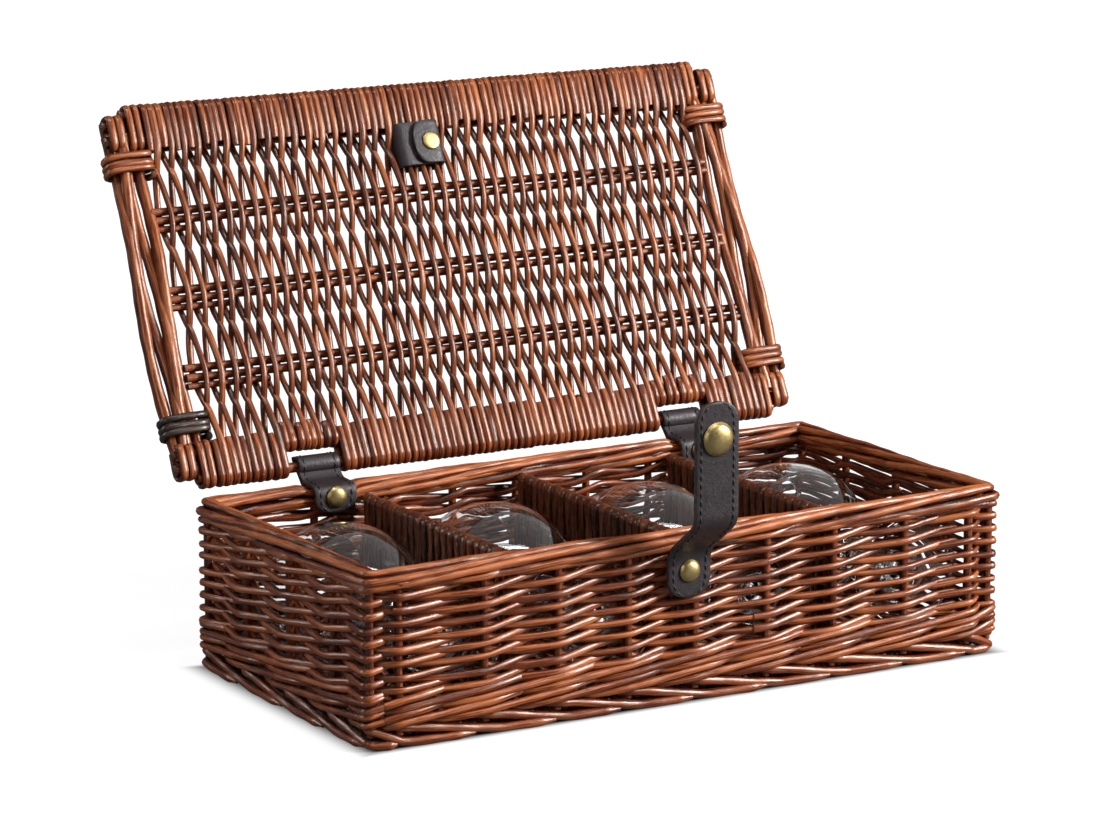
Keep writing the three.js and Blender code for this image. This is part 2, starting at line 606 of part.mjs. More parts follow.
// Front strap: a foot riveted to the wall, a lower part that leans out, and an upper part with the stud
function buildStrap() {
  const half = STRAP_LEATHER / 2;
  const cutBack = half + FLEX_GAP;
  const rivetHole = rodY(RIVET_SHANK / 2 + GAP, 4 * STRAP_LEATHER);

  const footLength = STRAP_RIVET_DROP + STRAP_TAIL;
  const footOutline = roundEnded(0, footLength).rotateX(Math.PI);
  const foot = strapLeather(footOutline, -footLength, -cutBack);
  const pierced = cut(foot, [rivetHole.clone().translate(0, 0, -STRAP_RIVET_DROP)]);
  const footPiece = addPiece(basket, 'strap_foot', pierced, LEATHER);
  footPiece.position.set(STRAP_X, STRAP_FLEX_Y, STRAP_FLEX_HEIGHT);

  const headY = STRAP_FLEX_Y - half - GAP;
  const grip = -HALF_DEPTH + WALL + GAP - headY;
  const pin = rivet(STRAP_RIVET_HEAD, STRAP_RIVET_DOME, grip, STRAP_RIVET_TAIL);
  const pinPiece = addPiece(basket, 'strap_rivet', pin, BRASS);
  pinPiece.position.set(STRAP_X, headY, STRAP_FLEX_HEIGHT - STRAP_RIVET_DROP);

  const foldCut = half * Math.tan(Math.PI / 4 + STRAP_CLOSED_LEAN / 2) + FLEX_GAP / 2;
  const lowerEnd = [STRAP_WIDTH / 2, half, STRAP_LOWER_LENGTH - foldCut];
  const lowerBox = boxBetween([-STRAP_WIDTH / 2, -half, 0], lowerEnd);
  const lower = toGeometry(toSolid(lowerBox).add(toSolid(strapKnuckle())));
  const lowerGroup = new THREE.Group();
  lowerGroup.position.set(STRAP_X, STRAP_FLEX_Y, STRAP_FLEX_HEIGHT);
  lowerGroup.rotation.x = STRAP_REST_LEAN;
  addPiece(lowerGroup, 'strap_lower', lower, LEATHER);
  basket.add(lowerGroup);

  const tube = SNAP_SOCKET_BORE / 2 + SNAP_TUBE_WALL;
  const upperLength = STRAP_STUD_REACH + STRAP_TIP;
  const upperFlat = strapLeather(roundEnded(0, upperLength), 0, upperLength);
  const upper = toGeometry(toSolid(upperFlat).add(toSolid(strapKnuckle())));
  const studHole = rodY(tube + GAP, 4 * STRAP_LEATHER, STUD_SIDES).translate(0, 0, STRAP_STUD_REACH);
  const upperGroup = new THREE.Group();
  upperGroup.position.set(0, 0, STRAP_LOWER_LENGTH);
  upperGroup.rotation.x = -STRAP_REST_LEAN;
  addPiece(upperGroup, 'strap_upper', cut(upper, [studHole]), LEATHER);
  lowerGroup.add(upperGroup);

  const bore = SNAP_SOCKET_BORE / 2;
  const capBase = -half - GAP;
  const capPoints = [[0, capBase - SNAP_CAP_DOME]];
  const domeSteps = 4;
  for (let i = 1; i <= domeSteps; i += 1) {
    const angle = (i / domeSteps) * Math.PI / 2;
    capPoints.push([SNAP_CAP_DIAMETER / 2 * Math.sin(angle), capBase - SNAP_CAP_DOME * Math.cos(angle)]);
  }
  capPoints.push([tube, capBase], [tube, half], [bore, half], [bore, capBase], [0, capBase]);
  const cap = addPiece(upperGroup, 'snap_cap', turned(capPoints, STUD_SIDES), BRASS);
  cap.position.z = STRAP_STUD_REACH;

  const low = half + GAP;
  const high = low + SNAP_SOCKET_THICKNESS;
  const flange = SNAP_SOCKET_DIAMETER / 2;
  const socketPoints = [[bore, low], [flange, low], [flange, high], [bore, high], [bore, low]];
  const socket = addPiece(upperGroup, 'snap_socket', turned(socketPoints, STUD_SIDES), BRASS);
  socket.position.z = STRAP_STUD_REACH;
}

// Reach of a group of inner sticks; 0 gives the back border's inner stick
function stickGroupReach(i) {
  return BACK_INNER_REACH + i * (FRONT_INNER_REACH - BACK_INNER_REACH) / (INNER_STICK_GROUPS.length + 1);
}

// Lid sticks: two along the back edge, two along the front edge and three pairs between them
function lidSticks() {
  const sticks = [
    ['lid_hinge_stick', 0, BORDER_STICK_RADIUS, BORDER_STICK_END],
    ['lid_back_inner_stick', BACK_INNER_REACH, BORDER_STICK_RADIUS, LID_WEAVE_END],
    ['lid_front_stick', FRONT_STICK_REACH, BORDER_STICK_RADIUS, BORDER_STICK_END],
    ['lid_front_inner_stick', FRONT_INNER_REACH, BORDER_STICK_RADIUS, LID_WEAVE_END],
  ];
  INNER_STICK_GROUPS.forEach((name, i) => {
    const reach = stickGroupReach(i + 1);
    const half = INNER_STICK_RADIUS + GAP;
    sticks.push([`lid_${name}_stick_a`, reach - half, INNER_STICK_RADIUS, LID_WEAVE_END]);
    sticks.push([`lid_${name}_stick_b`, reach + half, INNER_STICK_RADIUS, LID_WEAVE_END]);
  });
  return sticks;
}

// Border of the lid weave: strands wrap an edge stick and lap over the inner one, a rib for each pair
function lidBorder(stickReach, lapReach, pairs) {
  const edgeSteps = 3;
  const out = Math.sign(lapReach - stickReach);
  const corners = [new THREE.Vector2(-lapReach, 1), new THREE.Vector2(-lapReach, -1)];
  for (let i = 0; i <= edgeSteps; i += 1) {
    const angle = (i / edgeSteps - 0.5) * Math.PI;
    corners.push(new THREE.Vector2(-stickReach + out * Math.cos(angle), Math.sin(angle)));
  }
  const geometry = extrudeX(new THREE.Shape(corners), 2 * LID_WEAVE_END, 2, 2 * pairs);
  const position = geometry.attributes.position;
  for (let i = 0; i < position.count; i += 1) {
    const ring = Math.round((position.getX(i) / LID_WEAVE_END + 1) * pairs);
    const radius = LID_HALF_THICKNESS - (ring % 2 === 0 ? LID_WEAVER_GROOVE : 0);
    const beyond = position.getY(i) + stickReach;
    if (out * beyond > 0) {
      position.setY(i, -stickReach + beyond * radius);
    }
    position.setZ(i, position.getZ(i) * radius);
  }
  return geometry;
}

// Middle of the lid weave: thick where the strands pass a group of sticks, thin where they cross
function lidMiddle(edges, lap) {
  const tucked = LID_HALF_THICKNESS - LID_WEAVER_GROOVE - GAP;
  const swollen = INNER_STICK_RADIUS + GAP + WEAVER_THICKNESS;
  const back = edges[0];
  const front = edges[edges.length - 1];
  const wave = [[back, tucked], [back + LID_BORDER_LAP, tucked]];
  for (let i = 1; i < edges.length; i += 1) {
    wave.push([(edges[i - 1] + edges[i]) / 2, LID_CROSSING_THICKNESS / 2]);
    if (i < edges.length - 1) {
      wave.push([edges[i] - lap, swollen], [edges[i] + lap, swollen]);
    }
  }
  wave.push([front - LID_BORDER_LAP, tucked], [front, tucked]);
  const upper = wave.map(([reach, half]) => new THREE.Vector2(-reach, half));
  const lower = wave.map(([reach, half]) => new THREE.Vector2(-reach, -half)).reverse();
  return extrudeX(new THREE.Shape([...upper, ...lower]), 2 * LID_WEAVE_END);
}

// Openings between the pairs of strands, narrow where the strands cross
function lidSlots(edges, lap, pairs) {
  const slots = [];
  const last = edges.length - 1;
  const wide = LID_SLOT_WIDTH / 2;
  const waist = LID_SLOT_WAIST / 2;
  for (let i = 1; i <= last; i += 1) {
    const from = edges[i - 1] + (i === 1 ? LID_BORDER_LAP : lap) + LID_SLOT_ROOM;
    const to = edges[i] - (i === last ? LID_BORDER_LAP : lap) - LID_SLOT_ROOM;
    const middle = (edges[i - 1] + edges[i]) / 2;
    for (let k = 1; k < pairs; k += 1) {
      const x = LID_WEAVE_END * (2 * k / pairs - 1);
      const underTab = i === last && Math.abs(x - TAB_X) < TAB_LENGTH / 2 + LID_PAIR_PITCH;
      if (!underTab) {
        const right = [[wide, from], [waist, middle], [wide, to]];
        const left = [[-wide, to], [-waist, middle], [-wide, from]];
        const corners = [...right, ...left].map(([across, reach]) => new THREE.Vector2(x + across, -reach));
        slots.push(extrudeZ(new THREE.Shape(corners), -2 * LID_HALF_THICKNESS, 2 * LID_HALF_THICKNESS));
      }
    }
  }
  return slots;
}

// Lid weave: wrapped borders and an open middle, with a channel for every stick
function lidWeave(sticks) {
  const groups = INNER_STICK_GROUPS.map((name, i) => stickGroupReach(i + 1));
  const edges = [BACK_INNER_REACH, ...groups, FRONT_INNER_REACH];
  const lap = 2 * (INNER_STICK_RADIUS + GAP);
  const pairs = Math.round(2 * LID_WEAVE_END / LID_PAIR_PITCH);
  const geometry = join([
    lidBorder(0, BACK_INNER_REACH + LID_BORDER_LAP, pairs),
    lidMiddle(edges, lap),
    lidBorder(FRONT_STICK_REACH, FRONT_INNER_REACH - LID_BORDER_LAP, pairs),
  ]);
  const tools = sticks.map(([, reach, radius]) => {
    return rodX(radius + GAP, 4 * LID_WEAVE_END).translate(0, -reach, 0);
  });
  const halfNotch = LOOP_WIDTH / 2 + LOOP_NOTCH_ROOM;
  const thick = 2 * LID_HALF_THICKNESS;
  const notchFloor = rodX(LID_HALF_THICKNESS, 4 * LOOP_WIDTH).translate(0, -BACK_INNER_REACH, 0);
  const notchBox = boxBetween([-halfNotch, -BACK_INNER_REACH, -thick], [halfNotch, thick, thick]);
  const notch = cut(notchBox, [notchFloor]);
  for (const sign of [-1, 1]) {
    tools.push(notch.clone().translate(sign * LOOP_X - LID_SHIFT, 0, 0));
  }
  const halfSlot = TAB_WIDTH / 2 + GAP;
  for (const sign of [-1, 1]) {
    const x = TAB_X + sign * (TAB_LENGTH - TAB_LEATHER) / 2;
    const halfThick = TAB_LEATHER / 2 + GAP;
    const low = [x - halfThick, -TAB_REACH - halfSlot, -thick];
    const high = [x + halfThick, -TAB_REACH + halfSlot, thick];
    tools.push(boxBetween(low, high));
  }
  const postHole = rodY(RIVET_SHANK / 2 + GAP, 2 * thick).rotateX(Math.PI / 2);
  tools.push(postHole.translate(POST_X, -TAB_REACH, 0));
  return cut(geometry, [...tools, ...lidSlots(edges, lap, pairs)]);
}

// Rod along the lid's depth, bowed outwards
function endRod(x, from, to, bow) {
  const path = new THREE.QuadraticBezierCurve3(
    new THREE.Vector3(x, -from, 0),
    new THREE.Vector3(x + 2 * bow, -(from + to) / 2, 0),
    new THREE.Vector3(x, -to, 0),
  );
  const section = new THREE.Shape();
  section.absarc(0, 0, END_ROD_RADIUS, 0, 2 * Math.PI);
  const options = { extrudePath: path, steps: 6, bevelEnabled: false, curveSegments: ROD_SIDES / 2 };
  return new THREE.ExtrudeGeometry(section, options);
}

// Bundles of three rods at the lid's ends, each held by two bindings
function buildLidEnds(lid) {
  const inset = BORDER_STICK_RADIUS + GAP;
  const mid = FRONT_STICK_REACH / 2;
  const bowAt = (bow, reach, from, to) => {
    const share = (reach - from) / (to - from);
    return 4 * bow * share * (1 - share);
  };
  for (const [side, sign] of [['left', -1], ['right', 1]]) {
    const spans = END_ROD_BOWS.map((bow, i) => {
      const outer = i === END_ROD_BOWS.length - 1;
      const from = outer ? OUTER_ROD_SETBACK - LID_HALF_THICKNESS : inset;
      const to = outer ? FRONT_STICK_REACH - from : FRONT_STICK_REACH - inset;
      return { bow, from, to, x: INNER_ROD_X + i * END_ROD_PITCH };
    });
    spans.forEach(({ bow, from, to, x }, i) => {
      const geometry = endRod(sign * x, from, to, sign * bow);
      addPiece(lid, `lid_end_rod_${side}_${i + 1}`, geometry, WILLOW);
    });
    const inner = spans[0];
    const outer = spans[spans.length - 1];
    for (const [place, reach] of [
      ['back', BACK_INNER_REACH + BINDING_SETBACK],
      ['front', FRONT_INNER_REACH - BINDING_SETBACK],
    ]) {
      const toMiddle = Math.sign(mid - reach) * BINDING_LENGTH / 2;
      const widest = outer.x + bowAt(outer.bow, reach + toMiddle, outer.from, outer.to);
      const narrowest = inner.x + bowAt(inner.bow, reach - toMiddle, inner.from, inner.to);
      const holeWidth = widest - narrowest + 2 * (END_ROD_RADIUS + GAP);
      const holeHeight = 2 * (END_ROD_RADIUS + GAP);
      const outline = roundedRectangle(
        holeHeight + 2 * BINDING_THICKNESS,
        holeWidth + 2 * BINDING_THICKNESS,
        END_ROD_RADIUS + BINDING_THICKNESS,
      );
      const hole = roundedRectangle(holeHeight, holeWidth, END_ROD_RADIUS);
      outline.holes.push(new THREE.Path(hole.getPoints(2)));
      const binding = extrudeY(outline, BINDING_LENGTH, 2);
      binding.translate(sign * (widest + narrowest) / 2, -reach, 0);
      addPiece(lid, `lid_binding_${place}_${side}`, binding, WILLOW);
    }
  }
}

// Leather tab looped through the weave, and the stud that closes it and carries the post
function buildTab(lid) {
  const outline = roundedRectangle(2 * TAB_FACE, TAB_LENGTH, TAB_LEATHER);
  const innerHeight = 2 * (TAB_FACE - TAB_LEATHER);
  const innerLength = TAB_LENGTH - 2 * TAB_LEATHER;
  const inside = roundedRectangle(innerHeight, innerLength, TAB_LEATHER / 2);
  outline.holes.push(new THREE.Path(inside.getPoints(1)));
  const band = extrudeY(outline, TAB_WIDTH, 2).translate(TAB_X, -TAB_REACH, 0);
  const hole = rodY(RIVET_SHANK / 2 + GAP, 4 * TAB_FACE).rotateX(Math.PI / 2);
  addPiece(lid, 'lid_tab', cut(band, [hole.translate(POST_X, -TAB_REACH, 0)]), LEATHER);

  const face = TAB_FACE + GAP;
  const disc = TAB_DISC_DIAMETER / 2;
  const shank = RIVET_SHANK / 2;
  const points = [
    [0, -face - TAB_DISC_THICKNESS],
    [disc, -face - TAB_DISC_THICKNESS],
    [disc, -face],
    [shank, -face],
    [shank, face],
    [POST_DIAMETER / 2, face],
    [POST_DIAMETER / 2, TAB_FACE + POST_HEIGHT],
    [0, TAB_FACE + POST_HEIGHT],
  ];
  const stud = turned(points, STUD_SIDES).rotateX(Math.PI / 2).translate(POST_X, -TAB_REACH, 0);
  addPiece(lid, 'lid_tab_stud', stud, BRASS);
}

// Lid, drawn closed around its hinge stick and then swung open
function buildLid() {
  const lid = new THREE.Group();
  lid.position.set(LID_SHIFT, HINGE_Y, HINGE_Z);
  lid.rotation.x = -LID_OPEN_ANGLE;
  const sticks = lidSticks();
  for (const [name, reach, radius, end] of sticks) {
    addPiece(lid, name, rodX(radius, 2 * end).translate(0, -reach, 0), DARK_WILLOW);
  }
  addPiece(lid, 'lid_weave', lidWeave(sticks), WILLOW);
  buildLidEnds(lid);
  buildTab(lid);
  basket.add(lid);
}

// Stemmed glass along Y, its foot at y = 0 and its mouth at y = GLASS_HEIGHT
function glassGeometry() {
  const stem = STEM_DIAMETER / 2;
  const foot = GLASS_FOOT_DIAMETER / 2;
  const bowlStart = GLASS_HEIGHT - BOWL_HEIGHT;
  const belly = bowlStart + BOWL_BELLY;
  const steps = 4;
  const bowl = (inset) => {
    const widest = BOWL_DIAMETER / 2 - inset;
    const mouth = MOUTH_DIAMETER / 2 - inset;
    const depth = BOWL_BELLY - inset;
    const points = [];
    for (let i = 0; i <= steps; i += 1) {
      const angle = (i / steps) * Math.PI / 2;
      points.push([widest * Math.sin(angle), belly - depth * Math.cos(angle)]);
    }
    for (let i = 1; i <= steps; i += 1) {
      const share = i / steps;
      const radius = widest - (widest - mouth) * share * share;
      points.push([radius, belly + (GLASS_HEIGHT - belly) * share]);
    }
    return points;
  };
  const outer = bowl(0).slice(1);
  const inner = bowl(GLASS_WALL).reverse();
  const points = [
    [0, 0],
    [foot, 0],
    [foot, GLASS_FOOT_EDGE],
    [2 * stem, GLASS_FOOT_RISE],
    [stem, 2 * GLASS_FOOT_RISE],
    [stem, bowlStart - GLASS_WALL],
    ...outer,
    ...inner,
  ];
  return turned(points, GLASS_SIDES);
}

// Four glasses lying in the compartments, mouths to the back
function buildGlasses() {
  const middleX = (DIVIDER_WIDTH + MIDDLE_COMPARTMENT) / 2;
  const endX = DIVIDER_PITCH + (DIVIDER_WIDTH + END_COMPARTMENT) / 2;
  [-endX, -middleX, middleX, endX].forEach((x, i) => {
    const glass = addPiece(basket, `glass_${i + 1}`, glassGeometry(), GLASS);
    glass.position.set(x, GLASS_FOOT_Y, GLASS_AXIS_Z);
  });
}

buildBase();
buildFoot();
buildWalls();
buildRim();
buildDividers();
buildHinges();
buildStrap();
buildLid();
buildGlasses();

export default basket;
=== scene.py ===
# %% [markdown]
# # A willow picnic basket
# The real basket is woven from varnished willow rods, closed by a leather strap, and holds four stemmed glasses.
# A surface with a weave painted on it would look flat from the side, so every rod here is swept along its own path.
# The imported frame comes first, because each piece is placed by it and moves with one of its bodies.

# %% Load the frame
import math

import bpy
import numpy as np
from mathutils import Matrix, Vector
from numpy import column_stack as columns, concatenate as joined, cos, linspace, pi, sin


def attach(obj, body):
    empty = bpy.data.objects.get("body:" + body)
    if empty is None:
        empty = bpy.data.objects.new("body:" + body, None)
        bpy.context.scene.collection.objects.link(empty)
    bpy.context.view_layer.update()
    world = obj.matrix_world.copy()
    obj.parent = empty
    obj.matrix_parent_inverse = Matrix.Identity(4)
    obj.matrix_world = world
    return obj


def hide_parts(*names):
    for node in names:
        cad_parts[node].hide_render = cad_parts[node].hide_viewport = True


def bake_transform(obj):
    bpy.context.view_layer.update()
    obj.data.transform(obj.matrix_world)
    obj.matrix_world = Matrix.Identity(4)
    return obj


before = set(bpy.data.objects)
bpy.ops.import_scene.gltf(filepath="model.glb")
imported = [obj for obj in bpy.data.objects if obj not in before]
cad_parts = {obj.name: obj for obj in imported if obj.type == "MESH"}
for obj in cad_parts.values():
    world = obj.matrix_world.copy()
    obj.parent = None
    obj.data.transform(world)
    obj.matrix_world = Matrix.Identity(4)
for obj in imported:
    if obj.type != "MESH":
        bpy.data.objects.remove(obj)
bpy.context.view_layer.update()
MM = 0.001
TURN = 2 * pi
luck = np.random.default_rng(11)

# %% [markdown]
# The camera stands where the photographer stood: left of the middle, a little above the rim, with a long lens.
# Its place was found by fitting the corners of the body and of the lid, so no shift is needed.

# %% Camera
CAMERA_PLACE = (-1.2378, -2.0380, 0.6460)
CAMERA_AZIMUTH = math.radians(-30.6)
CAMERA_ELEVATION = math.radians(11.96)
LENS, SENSOR_WIDTH = 144.8, 36


def show(name, data):
    """Makes an object from its data and puts it into the scene."""
    made = bpy.data.objects.new(name, data)
    bpy.context.scene.collection.objects.link(made)
    return made


def aim(made, place, backwards):
    """Puts a camera or a lamp at a place, with its back in a direction."""
    made.location = place
    made.rotation_mode = "QUATERNION"
    made.rotation_quaternion = backwards.to_track_quat("Z", "Y")


camera_data = bpy.data.cameras.new("photo_camera")
camera_data.lens, camera_data.sensor_width = LENS, SENSOR_WIDTH
camera = show("photo_camera", camera_data)
flat_share = math.cos(CAMERA_ELEVATION)
towards = math.sin(CAMERA_AZIMUTH) * flat_share, -math.cos(CAMERA_AZIMUTH) * flat_share, math.sin(CAMERA_ELEVATION)
aim(camera, CAMERA_PLACE, Vector(towards))
bpy.context.scene.camera = camera
bpy.context.scene.view_settings.view_transform = "Standard"
print("camera at", CAMERA_PLACE, "lens", LENS)

# %% [markdown]
# Materials and the world are made of nodes. A small bench that adds a node, sets its sockets and joins them keeps
# each recipe short enough to read as a list.

# %% Node bench
BUMP_DEPTH = 0.0003


class Bench:
    """Adds nodes to one node tree and joins their sockets."""

    def __init__(self, tree):
        self.tree = tree
        tree.nodes.clear()

    def feed(self, made, inputs):
        """Joins a node's input to a socket, or sets it to a value."""
        for key, value in inputs.items():
            if isinstance(value, bpy.types.NodeSocket):
                self.tree.links.new(value, made.inputs[key])
            else:
                made.inputs[key].default_value = value

    def node(self, kind, inputs=None, **settings):
        made = self.tree.nodes.new("ShaderNode" + kind)
        for name, value in settings.items():
            setattr(made, name, value)
        self.feed(made, inputs or {})
        return made

    def maths(self, operation, first, second=0.0):
        return self.node("Math", {0: first, 1: second}, operation=operation).outputs[0]

    def weighted(self, *parts):
        """The sum of values, each times its weight."""
        total = self.maths("MULTIPLY", *parts[0])
        for value, weight in parts[1:]:
            total = self.maths("ADD", total, self.maths("MULTIPLY", value, weight))
        return total

    def blend(self, share, first, second):
        return self.node("Mix", {0: share, 6: first, 7: second}, data_type="RGBA").outputs[2]

    def between(self, value, low, high, to_low=0.0, to_high=1.0):
        inputs = {0: value, 1: low, 2: high, 3: to_low, 4: to_high}
        return self.node("MapRange", inputs, interpolation_type="SMOOTHSTEP").outputs[0]

    def ramp(self, value, stops):
        made = self.node("ValToRGB", {0: value})
        points = made.color_ramp.elements
        points[0].position, points[0].color = stops[0]
        points[1].position, points[1].color = stops[-1]
        for place, colour in stops[1:-1]:
            points.new(place).color = colour
        return made.outputs[0]

    def noise(self, where, scale, detail):
        return self.node("TexNoise", {"Vector": where, "Scale": scale, "Detail": detail}).outputs[0]

    def attribute(self, name, output="Vector"):
        return self.node("Attribute", attribute_name=name).outputs[output]

    def bump(self, height, strength):
        return self.node("Bump", {"Height": height, "Strength": strength, "Distance": BUMP_DEPTH}).outputs[0]


def open_group(name, inputs, outputs):
    """Starts a shader node group with named sockets, and gives its bench, its inputs and its output node."""
    tree = bpy.data.node_groups.new(name, "ShaderNodeTree")
    for way, sockets in (("INPUT", inputs), ("OUTPUT", outputs)):
        for label, kind in sockets.items():
            tree.interface.new_socket(label, in_out=way, socket_type="NodeSocket" + kind)
    bench = Bench(tree)
    return bench, tree.nodes.new("NodeGroupInput").outputs, tree.nodes.new("NodeGroupOutput")


def bench_of(owner):
    """A bench on the node tree of a material or world."""
    owner.use_nodes = True
    return Bench(owner.node_tree)


def open_material(name):
    """Starts a material with a Principled shader, and gives the material, its bench and the shader."""
    material = bpy.data.materials.new(name)
    bench = bench_of(material)
    shader = bench.node("BsdfPrincipled")
    bench.node("OutputMaterial", {"Surface": shader.outputs[0]})
    return material, bench, shader


print("bench ready")

# %% [markdown]
# The photo shows the basket on white with soft light from both sides, stronger from the right.
# The floor is a pale sheet that still takes the shadow, and white reaches the camera through Light Path, so the lamps
# can stay at a plain level. Varnish doesn't see that white: it mirrors the dim room and the lamps, which keeps the
# willow deep in colour with bright lines on it. Rays through the glasses see it, so the bowls stay clear.

# %% Floor, world and lamps
WHITE = (1, 1, 1, 1)
FLOOR_GREY = (0.18, 0.18, 0.18, 1)
FLOOR_HALF = 6.0
BODY_HALF = (0.2, 0.1)
WORLD_LIGHT = 0.09


def seen_white(bench):
    """1 for rays that come straight from the camera or through glass."""
    path = bench.node("LightPath").outputs
    return bench.maths("MAXIMUM", path["Is Camera Ray"], path["Is Transmission Ray"])


world = bpy.data.worlds.new("studio")
bpy.context.scene.world = world
bench = bench_of(world)
dim, white = [bench.node("Background", {"Color": WHITE, "Strength": light}) for light in (WORLD_LIGHT, 1.0)]
chosen = bench.node("MixShader", {0: seen_white(bench), 1: dim.outputs[0], 2: white.outputs[0]})
bench.node("OutputWorld", {"Surface": chosen.outputs[0]})

# The sheet glows only beyond the basket's outline, so that no white shows through the gaps of the base. Under the
# basket it stays dark, which is a painted shadow.
floor_mesh = bpy.data.meshes.new("floor")
corners = [(x * FLOOR_HALF, y * FLOOR_HALF, 0) for x, y in ((-1, -1), (1, -1), (1, 1), (-1, 1))]
floor_mesh.from_pydata(corners, [], [(0, 1, 2, 3)])
floor = show("floor", floor_mesh)
floor_finish = bpy.data.materials.new("pale_floor")
bench = bench_of(floor_finish)
matt = bench.node("BsdfDiffuse", {"Color": FLOOR_GREY})
spot = bench.node("NewGeometry").outputs["Position"]
away = bench.node("VectorMath", {0: spot}, operation="LENGTH").outputs["Value"]
sides = bench.node("SeparateXYZ", {0: spot}).outputs
reaches = [bench.maths("DIVIDE", bench.maths("ABSOLUTE", side), half) for side, half in zip(sides, BODY_HALF)]
# Painted shadow: no glow inside the basket's outline.
beyond = bench.between(bench.maths("MAXIMUM", *reaches), 0.96, 1.06)
lift = bench.maths("MULTIPLY", seen_white(bench), bench.between(away, 0.3, 0.9, 0.92, 1.0))
glow = bench.node("Emission", {"Color": WHITE, "Strength": bench.maths("MULTIPLY", lift, beyond)})
both = bench.node("AddShader", {0: matt.outputs[0], 1: glow.outputs[0]})
bench.node("OutputMaterial", {"Surface": both.outputs[0]})
floor_mesh.materials.append(floor_finish)

# Each lamp has a place, a width and height, and a power.
LAMPS = {
    "right_softbox": ((1.9, -1.5, 1.2), (0.5, 1.1), 122.0),
    "left_softbox": ((-1.9, -0.9, 0.9), (0.3, 1.1), 6.0),
    "back_softbox": ((-1.5, 1.4, 0.9), (0.2, 1.1), 10.0),
    "top_softbox": ((-0.1, -0.4, 1.9), (1.5, 0.14), 14.0),
}
LAMP_AIM = Vector((0, 0, 0.1))
for name, (place, size, power) in LAMPS.items():
    lamp = bpy.data.lights.new(name, "AREA")
    lamp.shape = "RECTANGLE"
    lamp.size, lamp.size_y = size
    lamp.energy = power
    aim(show(name, lamp), place, Vector(place) - LAMP_AIM)
print("stage:", floor.name, "and", len(LAMPS), "lamps")

# %% [markdown]
# Rods, straps and studs are all rings of points joined by faces, so a few helpers serve every shape. Sizes in this
# lesson are in millimetres, and the meshes are made in metres.

# %% Shape helpers
RIGHT, BACK, UP = np.eye(3)


def unit(vectors):
    return vectors / np.maximum(np.linalg.norm(vectors, axis=-1, keepdims=True), 1e-9)


def line_length(points):
    """The way along a line up to each of its points."""
    return joined([[0], np.cumsum(np.linalg.norm(np.diff(points, axis=0), axis=1))])


def ease(share):
    """0 to 1 with a soft start and stop."""
    share = np.clip(share, 0, 1)
    return share * share * (3 - 2 * share)


def fuller(wave, power):
    """A wave from -1 to 1 that stays longer at its ends, so that a ring becomes more like a box."""
    return np.sign(wave) * abs(wave) ** power


def phases(count):
    """Random starts for waves, anywhere in a turn."""
    return luck.uniform(0, 6.3, count)


def tube_quads(rings, sides, first=0):
    """Faces between rings of points that follow one another."""
    row, here = first + np.arange(rings - 1)[:, None] * sides, np.arange(sides)
    after = (here + 1) % sides
    return np.stack([row + here, row + after, row + sides + after, row + sides + here], -1).reshape(-1, 4)


def fan(first, sides, centre):
    """Triangles from a ring of points to one in its middle."""
    here = np.arange(sides)
    return np.stack([first + here, first + (here + 1) % sides, np.full(sides, centre)], -1)


def mesh_of(name, verts, *blocks):
    """A smooth mesh from points in millimetres and blocks of faces."""
    mesh = bpy.data.meshes.new(name)
    faces = [face for block in blocks for face in block.tolist()]
    mesh.from_pydata(verts * MM, [], faces, shade_flat=False)
    mesh.validate()
    return mesh


def mark(mesh, label, values):
    """Keeps a number or a vector for each point of a mesh."""
    values = np.asarray(values, np.float32)
    kind, key = ("FLOAT_VECTOR", "vector") if values.ndim == 2 else ("FLOAT", "value")
    mesh.attributes.new(label, kind, "POINT").data.foreach_set(key, values.ravel())


def add_piece(name, mesh, finish, body, nodes):
    """Puts a mesh into the scene as a piece that stands for CAD nodes. It rides on a body, unless that is None."""
    piece = show(name, mesh)
    mesh.materials.append(finish)
    if body:
        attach(piece, body)
    if nodes:
        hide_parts(*nodes)
    print("piece", name, "with", len(mesh.polygons), "faces on", body or "two bodies")
    return piece


print("shape helpers ready")

# %% [markdown]
# A willow rod is a thin cane: round or a little flat, tapering, with long streaks and small bud marks. Its finish also
# paints shade on its edges and, on the walls, on the side that faces the weave. Curves with a bevel could sweep it, but
# a mesh built straight from numbers can also carry where each point lies on its rod, and the finish uses that to draw
# the streaks and the painted shade along every bend.

# %% Rods
SWELLS = ((0.05, 310), (0.04, 117))
END_BULGE = 0.35


